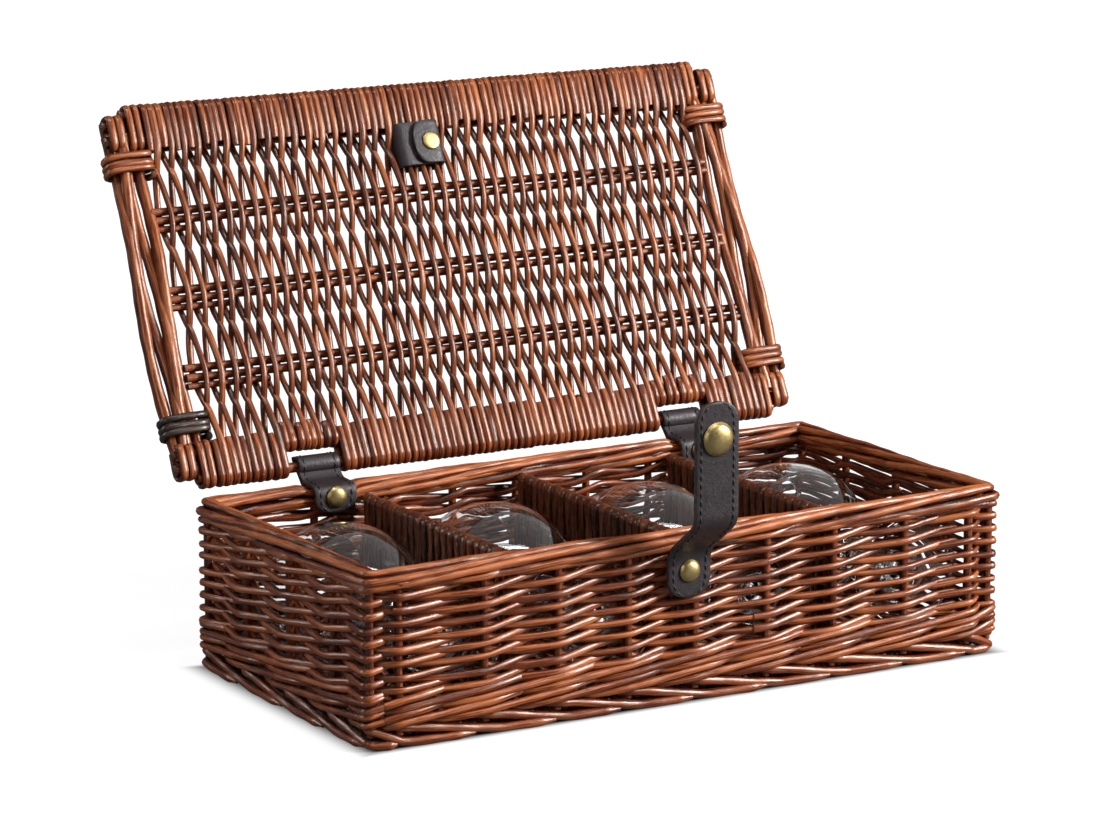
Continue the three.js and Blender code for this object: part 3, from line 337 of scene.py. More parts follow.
class Bundle:
    """Collects swept rods and gives them as one mesh."""

    def __init__(self):
        self.points, self.quads, self.fans = [], [], []
        self.count = 0

    def keep(self, verts, place, tint, cut):
        """Keeps points with their marks, and gives the number of the first."""
        number = len(verts)
        self.points.append((verts, place, np.full(number, tint), np.full(number, cut)))
        self.count += number
        return self.count - number

    def rod(self, points, facing, wide, thick=None, tint=None, sides=8):
        """A rod along points, its thin side towards facing. Sizes are half widths."""
        points = np.asarray(points, float)
        number = len(points)
        tint = luck.random() if tint is None else tint
        thick = wide if thick is None else thick
        ahead = unit(np.gradient(points, axis=0))
        facing = np.broadcast_to(facing, points.shape)
        out = unit(facing - (facing * ahead).sum(1, keepdims=True) * ahead)
        across = np.cross(ahead, out)
        along = line_length(points) * MM
        swell = sum((part * sin(rate * along + wave) for (part, rate), wave in zip(SWELLS, phases(2))), 1.0)
        wide, thick = [(size * swell)[:, None, None] for size in (wide, thick)]
        angle = linspace(0, TURN, sides, endpoint=False)
        turn_out, turn_across = cos(angle), sin(angle)
        rings = points[:, None] + thick * turn_out[:, None] * out[:, None]
        rings = rings + wide * turn_across[:, None] * across[:, None]
        place = np.stack(np.broadcast_arrays(along[:, None], turn_out, turn_across), -1)
        first = self.keep(rings.reshape(-1, 3), place.reshape(-1, 3), tint, 0.0)
        self.quads.append(tube_quads(number, sides, first))
        for end, sign in ((0, -1), (number - 1, 1)):
            bulge = points[end] + sign * ahead[end] * END_BULGE * float(thick[end, 0, 0])
            verts = joined([rings[end], bulge[None]])
            base = self.keep(verts, joined([place[end], [[along[end], 0, 0]]]), tint, 1.0)
            self.fans.append(fan(base, sides, base + sides)[:, ::sign])

    def mesh(self, name, move=np.asarray):
        verts, *marks = map(joined, zip(*self.points))
        made = mesh_of(name, move(verts), joined(self.quads), joined(self.fans))
        for label, values in zip(("rod_place", "rod_tint", "rod_cut"), marks):
            mark(made, label, values)
        return made


print("rods are swept with their place, tint and cut ends marked")

# %% [markdown]
# Every rod finish needs the same things: streaks along the rod, bud marks, painted shade on the rod's edges and on the
# side towards the weave, a painted lighter outer side, and a cut end. One node group makes them, and each finish gives
# it its own stain colours. The rod's tint shifts the noise, so that no two rods are alike.

# %% Rod grain group
bench, given, result = open_group(
    "RodGrain",
    {"Deep": "Color", "Stain": "Color", "Worn": "Color", "End": "Color", "Inner": "Float"},
    {"Color": "Color", "Roughness": "Float", "Height": "Float"},
)
place = bench.attribute("rod_place")
tint = bench.attribute("rod_tint", "Fac")
shift = bench.node("VectorMath", {0: (91.0, 37.0, 53.0), "Scale": tint}, operation="SCALE").outputs[0]


def on_rod(length, girth):
    """Where a point lies on its rod, stretched along and around it."""
    inputs = {0: place, 1: (length, girth, girth), 2: shift}
    return bench.node("VectorMath", inputs, operation="MULTIPLY_ADD").outputs[0]


patches = bench.between(bench.noise(on_rod(22.0, 0.5), 1.0, 3.0), 0.3, 0.7)
streaks = bench.between(bench.noise(on_rod(45.0, 2.6), 1.0, 4.0), 0.34, 0.66)
hairs = bench.between(bench.noise(on_rod(150.0, 8.0), 1.0, 2.0), 0.34, 0.66)
buds = bench.node("TexVoronoi", {"Vector": on_rod(17.0, 1.2), "Scale": 1.0}).outputs["Distance"]
bud = bench.between(buds, 0.26, 0.06)
sides = bench.node("SeparateXYZ", {0: place}).outputs
# Painted shade and light by side: the outer side is painted lighter, and the side towards the weave darker, or lighter
# when Inner is below 0.
outer = bench.maths("MAXIMUM", sides[1], bench.maths("MULTIPLY", sides[1], given["Inner"]))
# Painted shade on both edges of the rod across its width.
painted_edge_shade = bench.between(bench.maths("ABSOLUTE", sides[2]), 0.6, 1.0)
tone = bench.weighted((tint, 0.26), (patches, 0.24), (streaks, 0.40), (hairs, 0.12), (outer, 0.2), (painted_edge_shade, -0.22))
stained = bench.blend(bench.between(tone, 0.22, 0.50), given["Deep"], given["Stain"])
stained = bench.blend(bench.between(tone, 0.50, 0.98), stained, given["Worn"])
stained = bench.blend(bench.maths("MULTIPLY", bud, 0.75), stained, given["Deep"])
bench.feed(result, {
    "Color": bench.blend(bench.attribute("rod_cut", "Fac"), stained, given["End"]),
    "Roughness": bench.maths("ADD", bench.weighted((hairs, 0.12), (bud, 0.25)), 0.25),
    "Height": bench.weighted((streaks, 0.6), (hairs, 0.4), (bud, -0.5)),
})
print("group RodGrain")

# %% [markdown]
# Five willow finishes use the group: the red-brown walls, the lid in a slightly darker copy of the walls' finish as
# painted shade, the darker sticks and foot, the almost black dividers, and the black binding at one corner of the lid.
# Inner above 0 paints a rod's inner side darker, as painted shade on the walls, and below 0 it paints that side lighter
# like the outer one, for strands that turn over. A thin coat is the varnish.

# %% Willow finishes
def willow_finish(name, deep, stain, worn, end, coat=0.4, inner=-0.9):
    material, bench, shader = open_material(name)
    group = bench.node("Group", node_tree=bpy.data.node_groups["RodGrain"])
    for label, colour in (("Deep", deep), ("Stain", stain), ("Worn", worn), ("End", end)):
        group.inputs[label].default_value = (*colour, 1)
    group.inputs["Inner"].default_value = inner
    bench.feed(shader, {
        "Base Color": group.outputs["Color"],
        "Roughness": group.outputs["Roughness"],
        "Normal": bench.bump(group.outputs["Height"], 0.4),
        "Specular Tint": (1.0, 0.80, 0.66, 1),
        "Coat Weight": coat,
        "Coat Roughness": 0.2,
    })
    print("finish", name)
    return material


willow = willow_finish("varnished_willow", (0.030, 0.006, 0.002), (0.145, 0.022, 0.004), (0.45, 0.126, 0.036),
                       (0.24, 0.085, 0.03), inner=0.6)
# The lid's finish is a slightly darker copy of the walls', as painted shade on the lid, which faces the lamps.
lid_shaded_willow = willow_finish("lid_shaded_willow", (0.030, 0.006, 0.002), (0.145, 0.025, 0.005), (0.40, 0.116, 0.034),
                           (0.24, 0.085, 0.03), coat=0.35)
dark_willow = willow_finish("dark_willow", (0.018, 0.003, 0.001), (0.115, 0.017, 0.004), (0.31, 0.078, 0.021),
                            (0.06, 0.020, 0.010))
skein = willow_finish("divider_skein", (0.010, 0.003, 0.001), (0.050, 0.010, 0.003), (0.17, 0.044, 0.013),
                      (0.03, 0.012, 0.008))
black_willow = willow_finish("black_binding", (0.006, 0.004, 0.004), (0.013, 0.009, 0.008), (0.035, 0.022, 0.018),
                             (0.02, 0.014, 0.01))

# %% [markdown]
# The walls stand on 28 upright stakes, two close together at every corner. The weavers bend round them, so the walls
# begin as a closed line through the stakes that also knows which way is out. The side stake of a corner stands at the
# very edge, so the weavers crease there and once more at the front stake, as they do in the photo.

# %% Stakes
FRONT_STAKES = (-180, -129, -85, -41, 1, 47, 90, 138, 181)
SIDE_STAKES = (-93.4, -54, -5, 46, 93.4)
WALL_X, WALL_Y = 196.0, 95.6
STAKE_FOOT, STAKE_TOP = 7, 90
STAKE_RADIUS = 2.4


class Round:
    """A closed line seen from above, read by a number that grows by one from point to point."""

    def __init__(self, places):
        self.places = np.asarray(places, float)
        edge = np.roll(self.places, -1, axis=0) - self.places
        outward = unit(np.stack([edge[:, 1], -edge[:, 0]], 1))
        self.normals = unit(outward + np.roll(outward, 1, axis=0))
        self.lengths = np.linalg.norm(edge, axis=1)

    def at(self, number):
        whole = np.floor(number).astype(int)
        share = (number - whole)[:, None]
        first, second = whole % len(self.places), (whole + 1) % len(self.places)
        middle = self.places[first] * (1 - share) + self.places[second] * share
        return middle, unit(self.normals[first] * (1 - share) + self.normals[second] * share)

    def number_at(self, length):
        ends = joined([[0], np.cumsum(self.lengths)])
        return np.interp(length, ends, np.arange(len(ends)))

    def path(self, number, out, height):
        """Points so far out from the line and so high, and the way out at each."""
        middle, normal = self.at(number)
        points = columns([middle + normal * out[:, None], height])
        return points, columns([normal, np.zeros(len(normal))])


def on_sides(kind):
    return [f"{kind}_{side}" for side in ("front", "back", "left", "right")]


front_line = [(x, -WALL_Y) for x in FRONT_STAKES]
right_line = [(WALL_X, y) for y in SIDE_STAKES]
back_line = [(x, WALL_Y) for x in reversed(FRONT_STAKES)]
left_line = [(-WALL_X, y) for y in reversed(SIDE_STAKES)]
wall_round = Round(front_line + right_line + back_line + left_line)
STAKES = len(wall_round.places)
stakes = Bundle()
for x, y in wall_round.places:
    lean = luck.normal(0, 0.5, 2)
    heights = linspace(STAKE_FOOT, STAKE_TOP, 8)
    stake = columns([x + lean[0] * heights / STAKE_TOP, y + lean[1] * heights / STAKE_TOP, heights])
    # Tints from 0.5 up paint the stakes lighter, as painted light where they show between the strokes.
    stakes.rod(stake, BACK, STAKE_RADIUS, tint=luck.uniform(0.5, 1.0))
corner_posts = [f"corner_post_{end}_{side}" for end in ("front", "back") for side in ("left", "right")]
add_piece("wall_stakes", stakes.mesh("wall_stakes"), dark_willow, "basket", corner_posts)

# %% [markdown]
# The walls are paired: two rods work together, and each passes in front of one stake and behind the next, while they
# twist round each other. The path is a wave out of the wall together with a stroke that rises to the right in front of
# a stake and falls quickly behind the next one. Stakes at a corner are too close for that, so the two rods lie level
# there, one above the other. Rods taper and run out, so each strand is made of several, and a few show their thick cut
# end in front of a stake.

# %% Paired walls
PAIR_ROWS = 9
PAIR_FIRST, PAIR_PITCH = 30.2, 7.2
PAIR_DEPTH = 4.0
PAIR_LIFT = 3.4
PAIR_APART = 2.6
ROOMY_STAKES = 42
POINTS_A_STAKE = 14
TUCK_LENGTH = 0.6
BUTT_SIZES, ROD_TIP = (2.05, 2.55), 1.75
BUTTS_SHOWN = 0.3
STROKE_TURNS = (0, 0.25, 0.42, 0.58, 0.75, 1)
STROKE_LEVELS = (-0.6, 0.32, 0.85, -0.7, -0.9, -0.6)
pairing = Bundle()
close = np.minimum(wall_round.lengths, np.roll(wall_round.lengths, 1))
room = np.minimum(np.append(close, close[0]) / ROOMY_STAKES, 1)


def stroke(turn):
    """Height of a rod from -1 to 1 over two stakes, with its corners rounded by a mean."""
    turns = [np.mod(turn + shift, 1) for shift in (-0.04, -0.02, 0, 0.02, 0.04)]
    return np.mean([np.interp(each, STROKE_TURNS, STROKE_LEVELS) for each in turns], axis=0)


def pair_rod(start, stop, strand, height, seeds):
    number = linspace(start, stop, int((stop - start) * POINTS_A_STAKE) + 1)
    free = np.interp(np.mod(number, STAKES), np.arange(STAKES + 1), room)
    apart = (1 - free) * (-PAIR_APART if strand else PAIR_APART)
    turn = (number + strand) / 2
    tuck = ease((number - stop + TUCK_LENGTH) / TUCK_LENGTH)
    wave = np.arcsin(0.96 * cos(TURN * (turn + 0.02))) / 1.29
    sway = sum(0.32 * sin((k + 2) * TURN * number / STAKES + seed) for k, seed in enumerate(seeds))
    level = height + sway + PAIR_LIFT * free * stroke(turn) + apart - 1.2 * tuck
    points, facing = wall_round.path(number, PAIR_DEPTH * wave - 1.6 * tuck, level)
    share = (number - start) / (stop - start)
    butt = luck.uniform(*BUTT_SIZES)
    thicker_left = 1.0 - 0.0003 * wall_round.at(number)[0][:, 0]
    wide = (butt + (ROD_TIP - butt) * share) * thicker_left
    pairing.rod(points, facing, wide, wide * 0.9)


for row in range(PAIR_ROWS):
    seeds = phases(3)
    for strand in (0, 1):
        at = float(luck.integers(0, 5) * 2)
        stop_at = at + STAKES
        while at < stop_at - 1:
            ahead = min(at + 2 * luck.integers(4, 7), stop_at)
            if stop_at - ahead < 6:
                ahead = stop_at
            butt_shows = luck.random() < BUTTS_SHOWN
            start = at + strand - (0.22 if butt_shows else 1.2)
            pair_rod(start, ahead + strand + 0.2, strand, PAIR_FIRST + PAIR_PITCH * row, seeds)
            at = ahead
print("pairing:", len(pairing.quads), "rods in", PAIR_ROWS, "rows")

# %% [markdown]
# Below the pairing lie two rounds of a three-rod wale: each rod passes outside two stakes and behind the third.
# It holds the stakes at the base and looks denser, like rope.

# %% Wale
WALE_LEVELS = (15.9, 23.6)
WALE_DEPTH = 4.0
WALE_RISE = 8.8
WALE_RUN = STAKES // 2
WALE_WIDE, WALE_THICK = (2.3, 1.95), (2.1, 1.85)
WALE_POINTS = 206
for level in WALE_LEVELS:
    for strand in range(3):
        for start in range(0, STAKES, WALE_RUN):
            number = linspace(start - 0.5, start + WALE_RUN + 0.2, WALE_POINTS)
            step = np.mod(number + strand, 3)
            out = np.where(step < 1, 1.0, cos(pi * (step - 1)))
            rise = np.interp(step, (0, 1.5, 2.5, 3), (-0.25, 0.5, -0.5, -0.25))
            points, facing = wall_round.path(number, WALE_DEPTH * out + 0.2, level + WALE_RISE * rise)
            pairing.rod(points, facing, *[linspace(*sizes, WALE_POINTS) for sizes in (WALE_WIDE, WALE_THICK)])
add_piece("wall_weave", pairing.mesh("wall_weave"), willow, "basket", on_sides("wall"))

# %% [markdown]
# The foot border is made of the stakes' lower ends. Each comes out below the wale at a stake, slopes down to the right
# and lies on the ground in front of the next one, with its cut tip outside. The dark gaps above it show the base.

# %% Foot border
FOOT_RADIUS = 2.5
FOOT_LEVEL, FOOT_FALL = 10.9, 8.3
FOOT_START, FOOT_STOP = 0.14, 1.92
foot = Bundle()
for stake in range(STAKES):
    number = linspace(stake - FOOT_START, stake + FOOT_STOP + luck.uniform(-0.08, 0.06), 52)
    ahead = number - stake
    fall = np.clip(ahead / 1.2, 0, 1)
    out = -1.2 + 3.4 * ease((ahead + FOOT_START) / 0.2) + 1.3 * ease((ahead - 1.05) / 0.8)
    height = FOOT_LEVEL - FOOT_FALL * (0.65 * fall + 0.35 * ease(fall))
    points, facing = wall_round.path(number, out, np.maximum(height, FOOT_RADIUS + 0.05))
    tip = FOOT_RADIUS * (0.45 + 0.55 * ease((number[-1] - number) / 0.22))
    foot.rod(points, facing, tip, tint=luck.uniform(0.3, 0.95), sides=10)
add_piece("foot_border", foot.mesh("foot_border"), dark_willow, "basket", on_sides("foot_border"))

# %% [markdown]
# The rim is a border laid as a slow rope. Each of its rods starts inside the wall, comes out below, rises to the right
# across the outside and goes in again over the top, so the ends are hidden where one rod follows another.
# It creases at the corners, and is pressed lower where the two leather loops go over it.

# %% Rim border
RIM_RODS = 6
RIM_TURNS = 14 / 6
RIM_LEVEL = 90.0
RIM_OUT, RIM_UP = 4.3, 4.6
RIM_OVERLAP = 35
HINGES = {"left": -120.0, "right": 120.0}
HINGE_X = HINGES["right"]
PRESS_HALF, PRESS_SOFT, PRESS_DROP = 19, 6, 1.0
rim_corner = [(178, -95.6), (195.8, -94.2), (195.8, -76)]
rim_places = rim_corner + [(x, -y) for x, y in reversed(rim_corner)]
rim_places = [(-x, y) for x, y in reversed(rim_corner)] + rim_places + [(-x, -y) for x, y in rim_corner]
rim_round = Round(rim_places)
rim_length = rim_round.lengths.sum()
half = rim_length / RIM_TURNS / 2 + RIM_OVERLAP
rim = Bundle()
for strand in range(RIM_RODS):
    for turn_number in range(4):
        middle_length = (turn_number - strand / RIM_RODS) * rim_length / RIM_TURNS
        if not -1e-6 <= middle_length < rim_length - 1e-6:
            continue
        length = middle_length + linspace(-half, half, 230)
        number = rim_round.number_at(np.mod(length, rim_length))
        swing = phases(2)
        turn = TURN * (strand / RIM_RODS + RIM_TURNS * length / rim_length)
        turn = turn + 0.2 * sin(length / 61 + swing[0]) + 0.14 * sin(length / 37 + swing[1])
        x, y = rim_round.at(number)[0].T
        at_back = y > WALL_Y / 2
        pressed = ease((PRESS_HALF - abs(abs(x) - HINGE_X)) / PRESS_SOFT) * at_back
        height = RIM_LEVEL - PRESS_DROP * pressed + RIM_UP * sin(turn) * (1 - 0.24 * pressed)
        points, facing = rim_round.path(number, RIM_OUT * cos(turn), height)
        facing = facing * cos(turn)[:, None] + UP * sin(turn)[:, None]
        taper = 1.1 + luck.uniform(1.15, 1.45) * ease((half - abs(length - middle_length)) / 60)
        # Tints above the walls' paint the rim's rods lighter, as painted light on the rim from above.
        rim.rod(points, facing, taper, taper * 0.95, tint=luck.uniform(0.4, 1.6))
add_piece("rim_border", rim.mesh("rim_border"), willow, "basket", on_sides("rim"))

# %% [markdown]
# The base is woven like the lid: flat strands run from front to back over and under sticks, and turn round the outer
# ones. Its front edge shows as a row of upright strokes in the gaps above the foot.

# %% Base
BASE_STICKS = np.arange(-80, 81, 20)
BASE_STICK_HALF, BASE_STICK_RADIUS = 189, 2.1
BASE_LEVEL = 5.2
BASE_EDGE = 88.6
BASE_PAIRS, BASE_PAIR_FIRST, BASE_PAIR_PITCH = 43, -183.5, 8.7
BASE_WEAVE_HALF = 84
BASE_SWING, BASE_DEPTH = 2.15, 3.4
base = Bundle()
for y in (-BASE_EDGE, *BASE_STICKS, BASE_EDGE):
    ends = [(sign * BASE_STICK_HALF, y, BASE_LEVEL) for sign in (-1, 1)]
    base.rod(linspace(*ends, 12), UP, BASE_STICK_RADIUS, tint=0.2)
for pair in range(BASE_PAIRS):
    middle = BASE_PAIR_FIRST + BASE_PAIR_PITCH * pair + luck.normal(0, 0.25)
    for face in (-1, 1):
        y = linspace(-BASE_WEAVE_HALF, BASE_WEAVE_HALF, 76)
        phase = pi * (y + 80) / 20
        height = BASE_LEVEL - face * BASE_DEPTH * cos(phase)
        about = linspace(0, pi, 9)
        turn = columns([BASE_EDGE + 3.3 * sin(about), BASE_LEVEL + face * 3.6 * cos(about)])
        turn = joined([turn, [(BASE_EDGE - 6, BASE_LEVEL - face * 2.9)]])
        path = joined([turn[::-1] * (-1, 1), columns([y, height]), turn])
        x = middle + BASE_SWING * face * np.ones(len(path))
        settle = ease((BASE_WEAVE_HALF - abs(y)) / 8)
        x[len(turn):-len(turn)] = middle + BASE_SWING * face * sin(phase) * settle
        points = columns([x, path])
        facing = np.cross(RIGHT, np.gradient(points, axis=0))
        base.rod(points, facing, luck.uniform(2.2, 2.6), 1.2, tint=luck.uniform(0.0, 0.8))
add_piece("base_weave", base.mesh("base_weave"), dark_willow, "basket", ["base_panel"])

# %% [markdown]
# Three dividers part the glasses. Each is a row of dark split-willow strands, laid over a top rail and down both faces,
# with a few level rods between the faces. Strands differ in width, lean and shade, because a ruled row looks machined.

# %% Dividers
DIVIDERS = {"left": -100, "middle": 0, "right": 100}
WRAPS, WRAP_FIRST, WRAP_PITCH = 24, -84.2, 7.32
RAIL_LEVEL, RAIL_HALF = 85.6, 87
LEVEL_RODS, LEVEL_ROD_HALF = (18, 40, 62), 90
FACE_OUT = 2.25
for side, x in DIVIDERS.items():
    wraps = Bundle()
    wraps.rod(linspace((x, -RAIL_HALF, RAIL_LEVEL), (x, RAIL_HALF, RAIL_LEVEL), 10), UP, 1.9, tint=0.3)
    for height in LEVEL_RODS:
        wraps.rod(linspace((x, -LEVEL_ROD_HALF, height), (x, LEVEL_ROD_HALF, height), 10), UP, 1.0, tint=0.2)
    for wrap in range(WRAPS):
        y = WRAP_FIRST + WRAP_PITCH * wrap + luck.normal(0, 0.3)
        lean = luck.normal(0, 1.2, 2)
        tone = np.clip(0.5 + (0.15 if wrap % 2 else -0.15) + luck.normal(0, 0.2), 0, 1)
        up = linspace(11, RAIL_LEVEL, 16)
        over = linspace(0, pi, 11)[1:-1]
        belly = 0.55 * cos(TURN * (up - 18) / 44 + pi * (wrap % 2)) * ease((80 - up) / 15)
        rise, fall = [
            columns([x + sign * FACE_OUT + belly, y + sign * 2 + tilt * (1 - up / 86), up])
            for sign, tilt in zip((1, -1), lean)
        ]
        arch = columns([x + 2.55 * cos(over), y + 2 * cos(over), 85.8 + 2.2 * sin(over)])
        points = joined([rise, arch, fall[::-1]])
        facing = np.cross(BACK, np.gradient(points, axis=0))
        top = ease((points[:, 2] - 72) / 12)
        wraps.rod(points, facing, luck.uniform(2.3, 2.8) + 1.1 * top, 1.3 + 0.6 * top, tint=tone, sides=10)
    nodes = [f"divider_panel_{side}", f"divider_rail_{side}"]
    add_piece(f"divider_{side}", wraps.mesh(f"divider_{side}"), skein, "basket", nodes)

# %% [markdown]
# The lid is drawn closed, where it is simple to think about: reach runs from the hinge to the front edge, and depth
# goes from the inner face to the outer one. One turn about the hinge then opens it as the photo shows it, which is
# the frame's rest pose. The photo shows it a few millimetres to the left of the body's middle.

# %% Lid frame
LID_SHIFT = -4.5
HINGE_Y, HINGE_Z = 110.0, 104.0
LID_HINGE = np.array([LID_SHIFT, HINGE_Y, HINGE_Z])
LID_TURN = math.radians(-115.7)


def lid_place(points):
    """From across, reach and depth on the closed lid to the shared frame, with the lid open."""
    x, reach, depth = np.asarray(points, float).T
    y = -reach * math.cos(LID_TURN) - depth * math.sin(LID_TURN)
    z = -reach * math.sin(LID_TURN) + depth * math.cos(LID_TURN)
    return columns([x, y, z]) + LID_HINGE


def add_lid_rods(name, bundle, finish, nodes):
    """Reach grows where y falls, so a drawing in across, reach and depth is mirrored and its faces are turned back."""
    made = bundle.mesh(name, lid_place)
    made.flip_normals()
    add_piece(name, made, finish, "lid", nodes)


print("lid opens", round(math.degrees(-LID_TURN), 1), "degrees")

# %% [markdown]
# The lid is fitched: pairs of strands run from the hinge to the front, one over and one under each group of sticks, and
# swap between groups, which leaves the open teardrops. At both borders they turn round the outer stick side by side and
# tuck in on the other face. At the hinge loops they turn round the inner stick instead, so the outer one stays bare.

# %% Lid weave
BACK_OUTER, BACK_INNER = 0.0, 14.5
FRONT_INNER, FRONT_OUTER = 196.6, 211.1
LID_GROUP_STEP = (FRONT_INNER - BACK_INNER) / 4
LID_PAIRS, LID_PAIR_PITCH = 41, 8.7
LOOP_ROOM = 18
STRAND_THICK = 1.5
STRAND_DEPTH = 4.1
STRAND_ASIDE = 2.18
BORDER_STICK = 3.2
lid_weave = Bundle()


def border_turn(reach_at, face, back_to):
    """Round a border stick: over it on one face, about it, and back on the other."""
    radius = BORDER_STICK + STRAND_THICK - 0.1
    away = 1 if reach_at > back_to else -1
    angle = linspace(0, pi, 9)
    turn = columns([reach_at + away * radius * sin(angle), face * radius * cos(angle)])
    back = linspace(reach_at, back_to, 7)[1:]
    sink = linspace(0, 1, 6) ** 3
    return joined([turn, columns([back, -face * (radius - 1.5 * sink)])])


def strand_tint():
    """Light and dark brown, with a few strands that took more of the stain."""
    # The tints sit lower than the walls', which paints the lid darker as painted shade.
    return luck.uniform(-0.1, 0.7) if luck.random() > 0.2 else luck.uniform(-0.35, -0.1)


for pair in range(LID_PAIRS):
    middle = (pair - (LID_PAIRS - 1) / 2) * LID_PAIR_PITCH + luck.normal(0, 0.35)
    notched = abs(abs(middle + LID_SHIFT) - HINGE_X) < LOOP_ROOM
    hinge_at, hinge_back = (BACK_INNER, 24.0) if notched else (BACK_OUTER, 20.5)
    lean = luck.normal(0, 0.7)
    for face in (1, -1):
        reach = linspace(BACK_INNER + 2, FRONT_INNER - 2, 68)
        phase = pi * (reach - BACK_INNER) / LID_GROUP_STEP
        depth = face * STRAND_DEPTH * fuller(cos(phase - 0.33 * sin(phase) ** 2), 0.8)
        swing = -face * luck.uniform(1.9, 2.4) * np.arcsin(0.98 * cos(phase)) * 2 / pi
        across = middle + swing + lean * sin(pi * (reach - BACK_INNER) / 182)
        aside = middle - face * STRAND_ASIDE
        hinge = border_turn(hinge_at, face, hinge_back + luck.normal(0, 1.0))[::-1]
        front = border_turn(FRONT_OUTER, face, 189.5 + luck.normal(0, 1.0))
        path = joined([hinge, columns([reach, depth]), front])
        x = joined([np.full(len(hinge), aside), across, np.full(len(front), aside)])
        settle = ease((path[:, 0] - BACK_INNER) / 15) * ease((FRONT_INNER - path[:, 0]) / 15)
        points = columns([x * settle + aside * (1 - settle), path])
        facing = np.cross(np.gradient(points, axis=0), RIGHT)
        wide = luck.uniform(2.15, 2.75) * (1 - 0.19 * settle)
        lid_weave.rod(points, facing, wide, STRAND_THICK + luck.uniform(-0.15, 0.3), tint=strand_tint())
print("lid weave:", LID_PAIRS, "pairs")

# %% [markdown]
# Beyond the last pairs the borders go on: short strands wrap both border sticks, and at the very ends two thick ones
# wrap only the inner stick and a stub beside it, whose dark cut ends stand out at the corners.

# %% Lid corners
# Places across, two spans of reach, half depth and half width.
LID_WRAPS = [
    ((181.2, 185.6), ((-4.7, 20.0), (191.1, 215.8)), 4.7, 2.2),
    ((192.6, 197.6), ((0.9, 19.3), (191.8, 210.2)), 4.9, 2.6),
]


def ring_about(x, low, high, half_depth, wide):
    """A strand that goes once round two sticks, as a flat ring over a span of reach."""
    angle = linspace(-0.6, TURN + 0.6, 40) + luck.uniform(1.0, 2.0)
    swing, rise = cos(angle), sin(angle)
    half = (high - low) / 2
    reach = (low + high) / 2 + half * fuller(swing, 0.45)
    points = columns([x + linspace(-0.7, 0.7, 40), reach, half_depth * fuller(rise, 0.6)])
    facing = columns([0 * angle, swing * half_depth, rise * half])
    lid_weave.rod(points, facing, wide, 1.4, tint=luck.uniform(0.3, 0.95))


for sign in (-1, 1):
    for places, spans, half_depth, wide in LID_WRAPS:
        for x in places:
            for span in spans:
                ring_about(sign * x, *span, half_depth, wide)
add_lid_rods("lid_weavers", lid_weave, lid_shaded_willow, ["lid_weave"])

# %% [markdown]
# Under the strands lie the lid's sticks: a pair at either border and three groups between. They show as glints between
# the strands. One stick of each group is spliced with a third near the left end, as in the photo.

# %% Lid sticks
BORDER_STICKS = {BACK_OUTER: 189.5, BACK_INNER: 201.4, FRONT_INNER: 201.4, FRONT_OUTER: 189.5}
STUB_REACHES = (5.6, 205.5)
GROUP_STICK_HALF = 183
lid_sticks = Bundle()


def lid_stick(low, high, points, reach, radius, tint, sway=0.0, length=1.0, depth=0.0):
    """A stick across the lid that wanders a little in reach."""
    x = linspace(low, high, points)
    places = columns([x, reach + sway * sin(x / length + reach), depth + 0 * x])
    lid_sticks.rod(places, UP, radius, tint=tint)


for reach, half in BORDER_STICKS.items():
    lid_stick(-half, half, 24, reach, BORDER_STICK, 0.45, 0.35, 70)
for reach in STUB_REACHES:
    for sign in (-1, 1):
        lid_sticks.rod([(sign * x, reach, -0.4) for x in (190.5, 196, 201.6)], UP, BORDER_STICK, tint=0.3)
for group in (1, 2, 3):
    middle = BACK_INNER + group * LID_GROUP_STEP
    for offset in (-2.7, 2.7):
        lid_stick(-GROUP_STICK_HALF, GROUP_STICK_HALF, 24, middle + offset, 2.4, 0.6, 0.3, 55)
    lid_stick(-GROUP_STICK_HALF, -118 - 14 * group, 12, middle - 7.6, 2.0, 0.4, depth=0.2)
stick_nodes = ["lid_hinge_stick", "lid_back_inner_stick", "lid_front_stick", "lid_front_inner_stick"]
stick_nodes += [f"lid_{row}_stick_{which}" for row in ("back", "middle", "front") for which in "ab"]
add_lid_rods("lid_sticks", lid_sticks, dark_willow, stick_nodes)

# %% [markdown]
# Each end of the lid is closed by a bundle of rods that cross one another and end under the borders, bound in two
# places by three turns of split willow. One of the four bindings is almost black on the real lid.

# %% Lid ends
END_RODS = (183.4, 188.6, 193.8, 198.6)
END_SWINGS = (1.4, 2.2, 2.0, 1.0)
END_FROM, END_TO = 11, 200
END_DEPTH = 0.9
BINDINGS = {"back": 29.5, "front": 181.6}
BINDING_MIDDLE = 190.0
BINDING_HALF, BINDING_DEPTH = 13.6, 6.3
BINDING_PITCH = 3.9
LID_ENDS = {"left": -1, "right": 1}
for side, sign in LID_ENDS.items():
    ends = Bundle()
    for rod, (x, swing) in enumerate(zip(END_RODS, END_SWINGS)):
        reach = linspace(END_FROM, END_TO, 40)
        share = (reach - END_FROM) / (END_TO - END_FROM)
        twist = TURN * 1.25 * share + rod * 1.9 + sign
        curve = x + swing * sin(twist) + 1.6 * sin(pi * share)
        points = columns([sign * curve, reach, END_DEPTH + 2.4 * cos(twist)])
        wide = 3.7 - 0.8 * (share if rod % 2 else 1 - share)
        ends.rod(points, UP, wide, tint=luck.uniform(0.35, 0.95), sides=10)
    nodes = [f"lid_end_rod_{side}_{number}" for number in (1, 2, 3)]
    add_lid_rods(f"lid_end_{side}", ends, lid_shaded_willow, nodes)

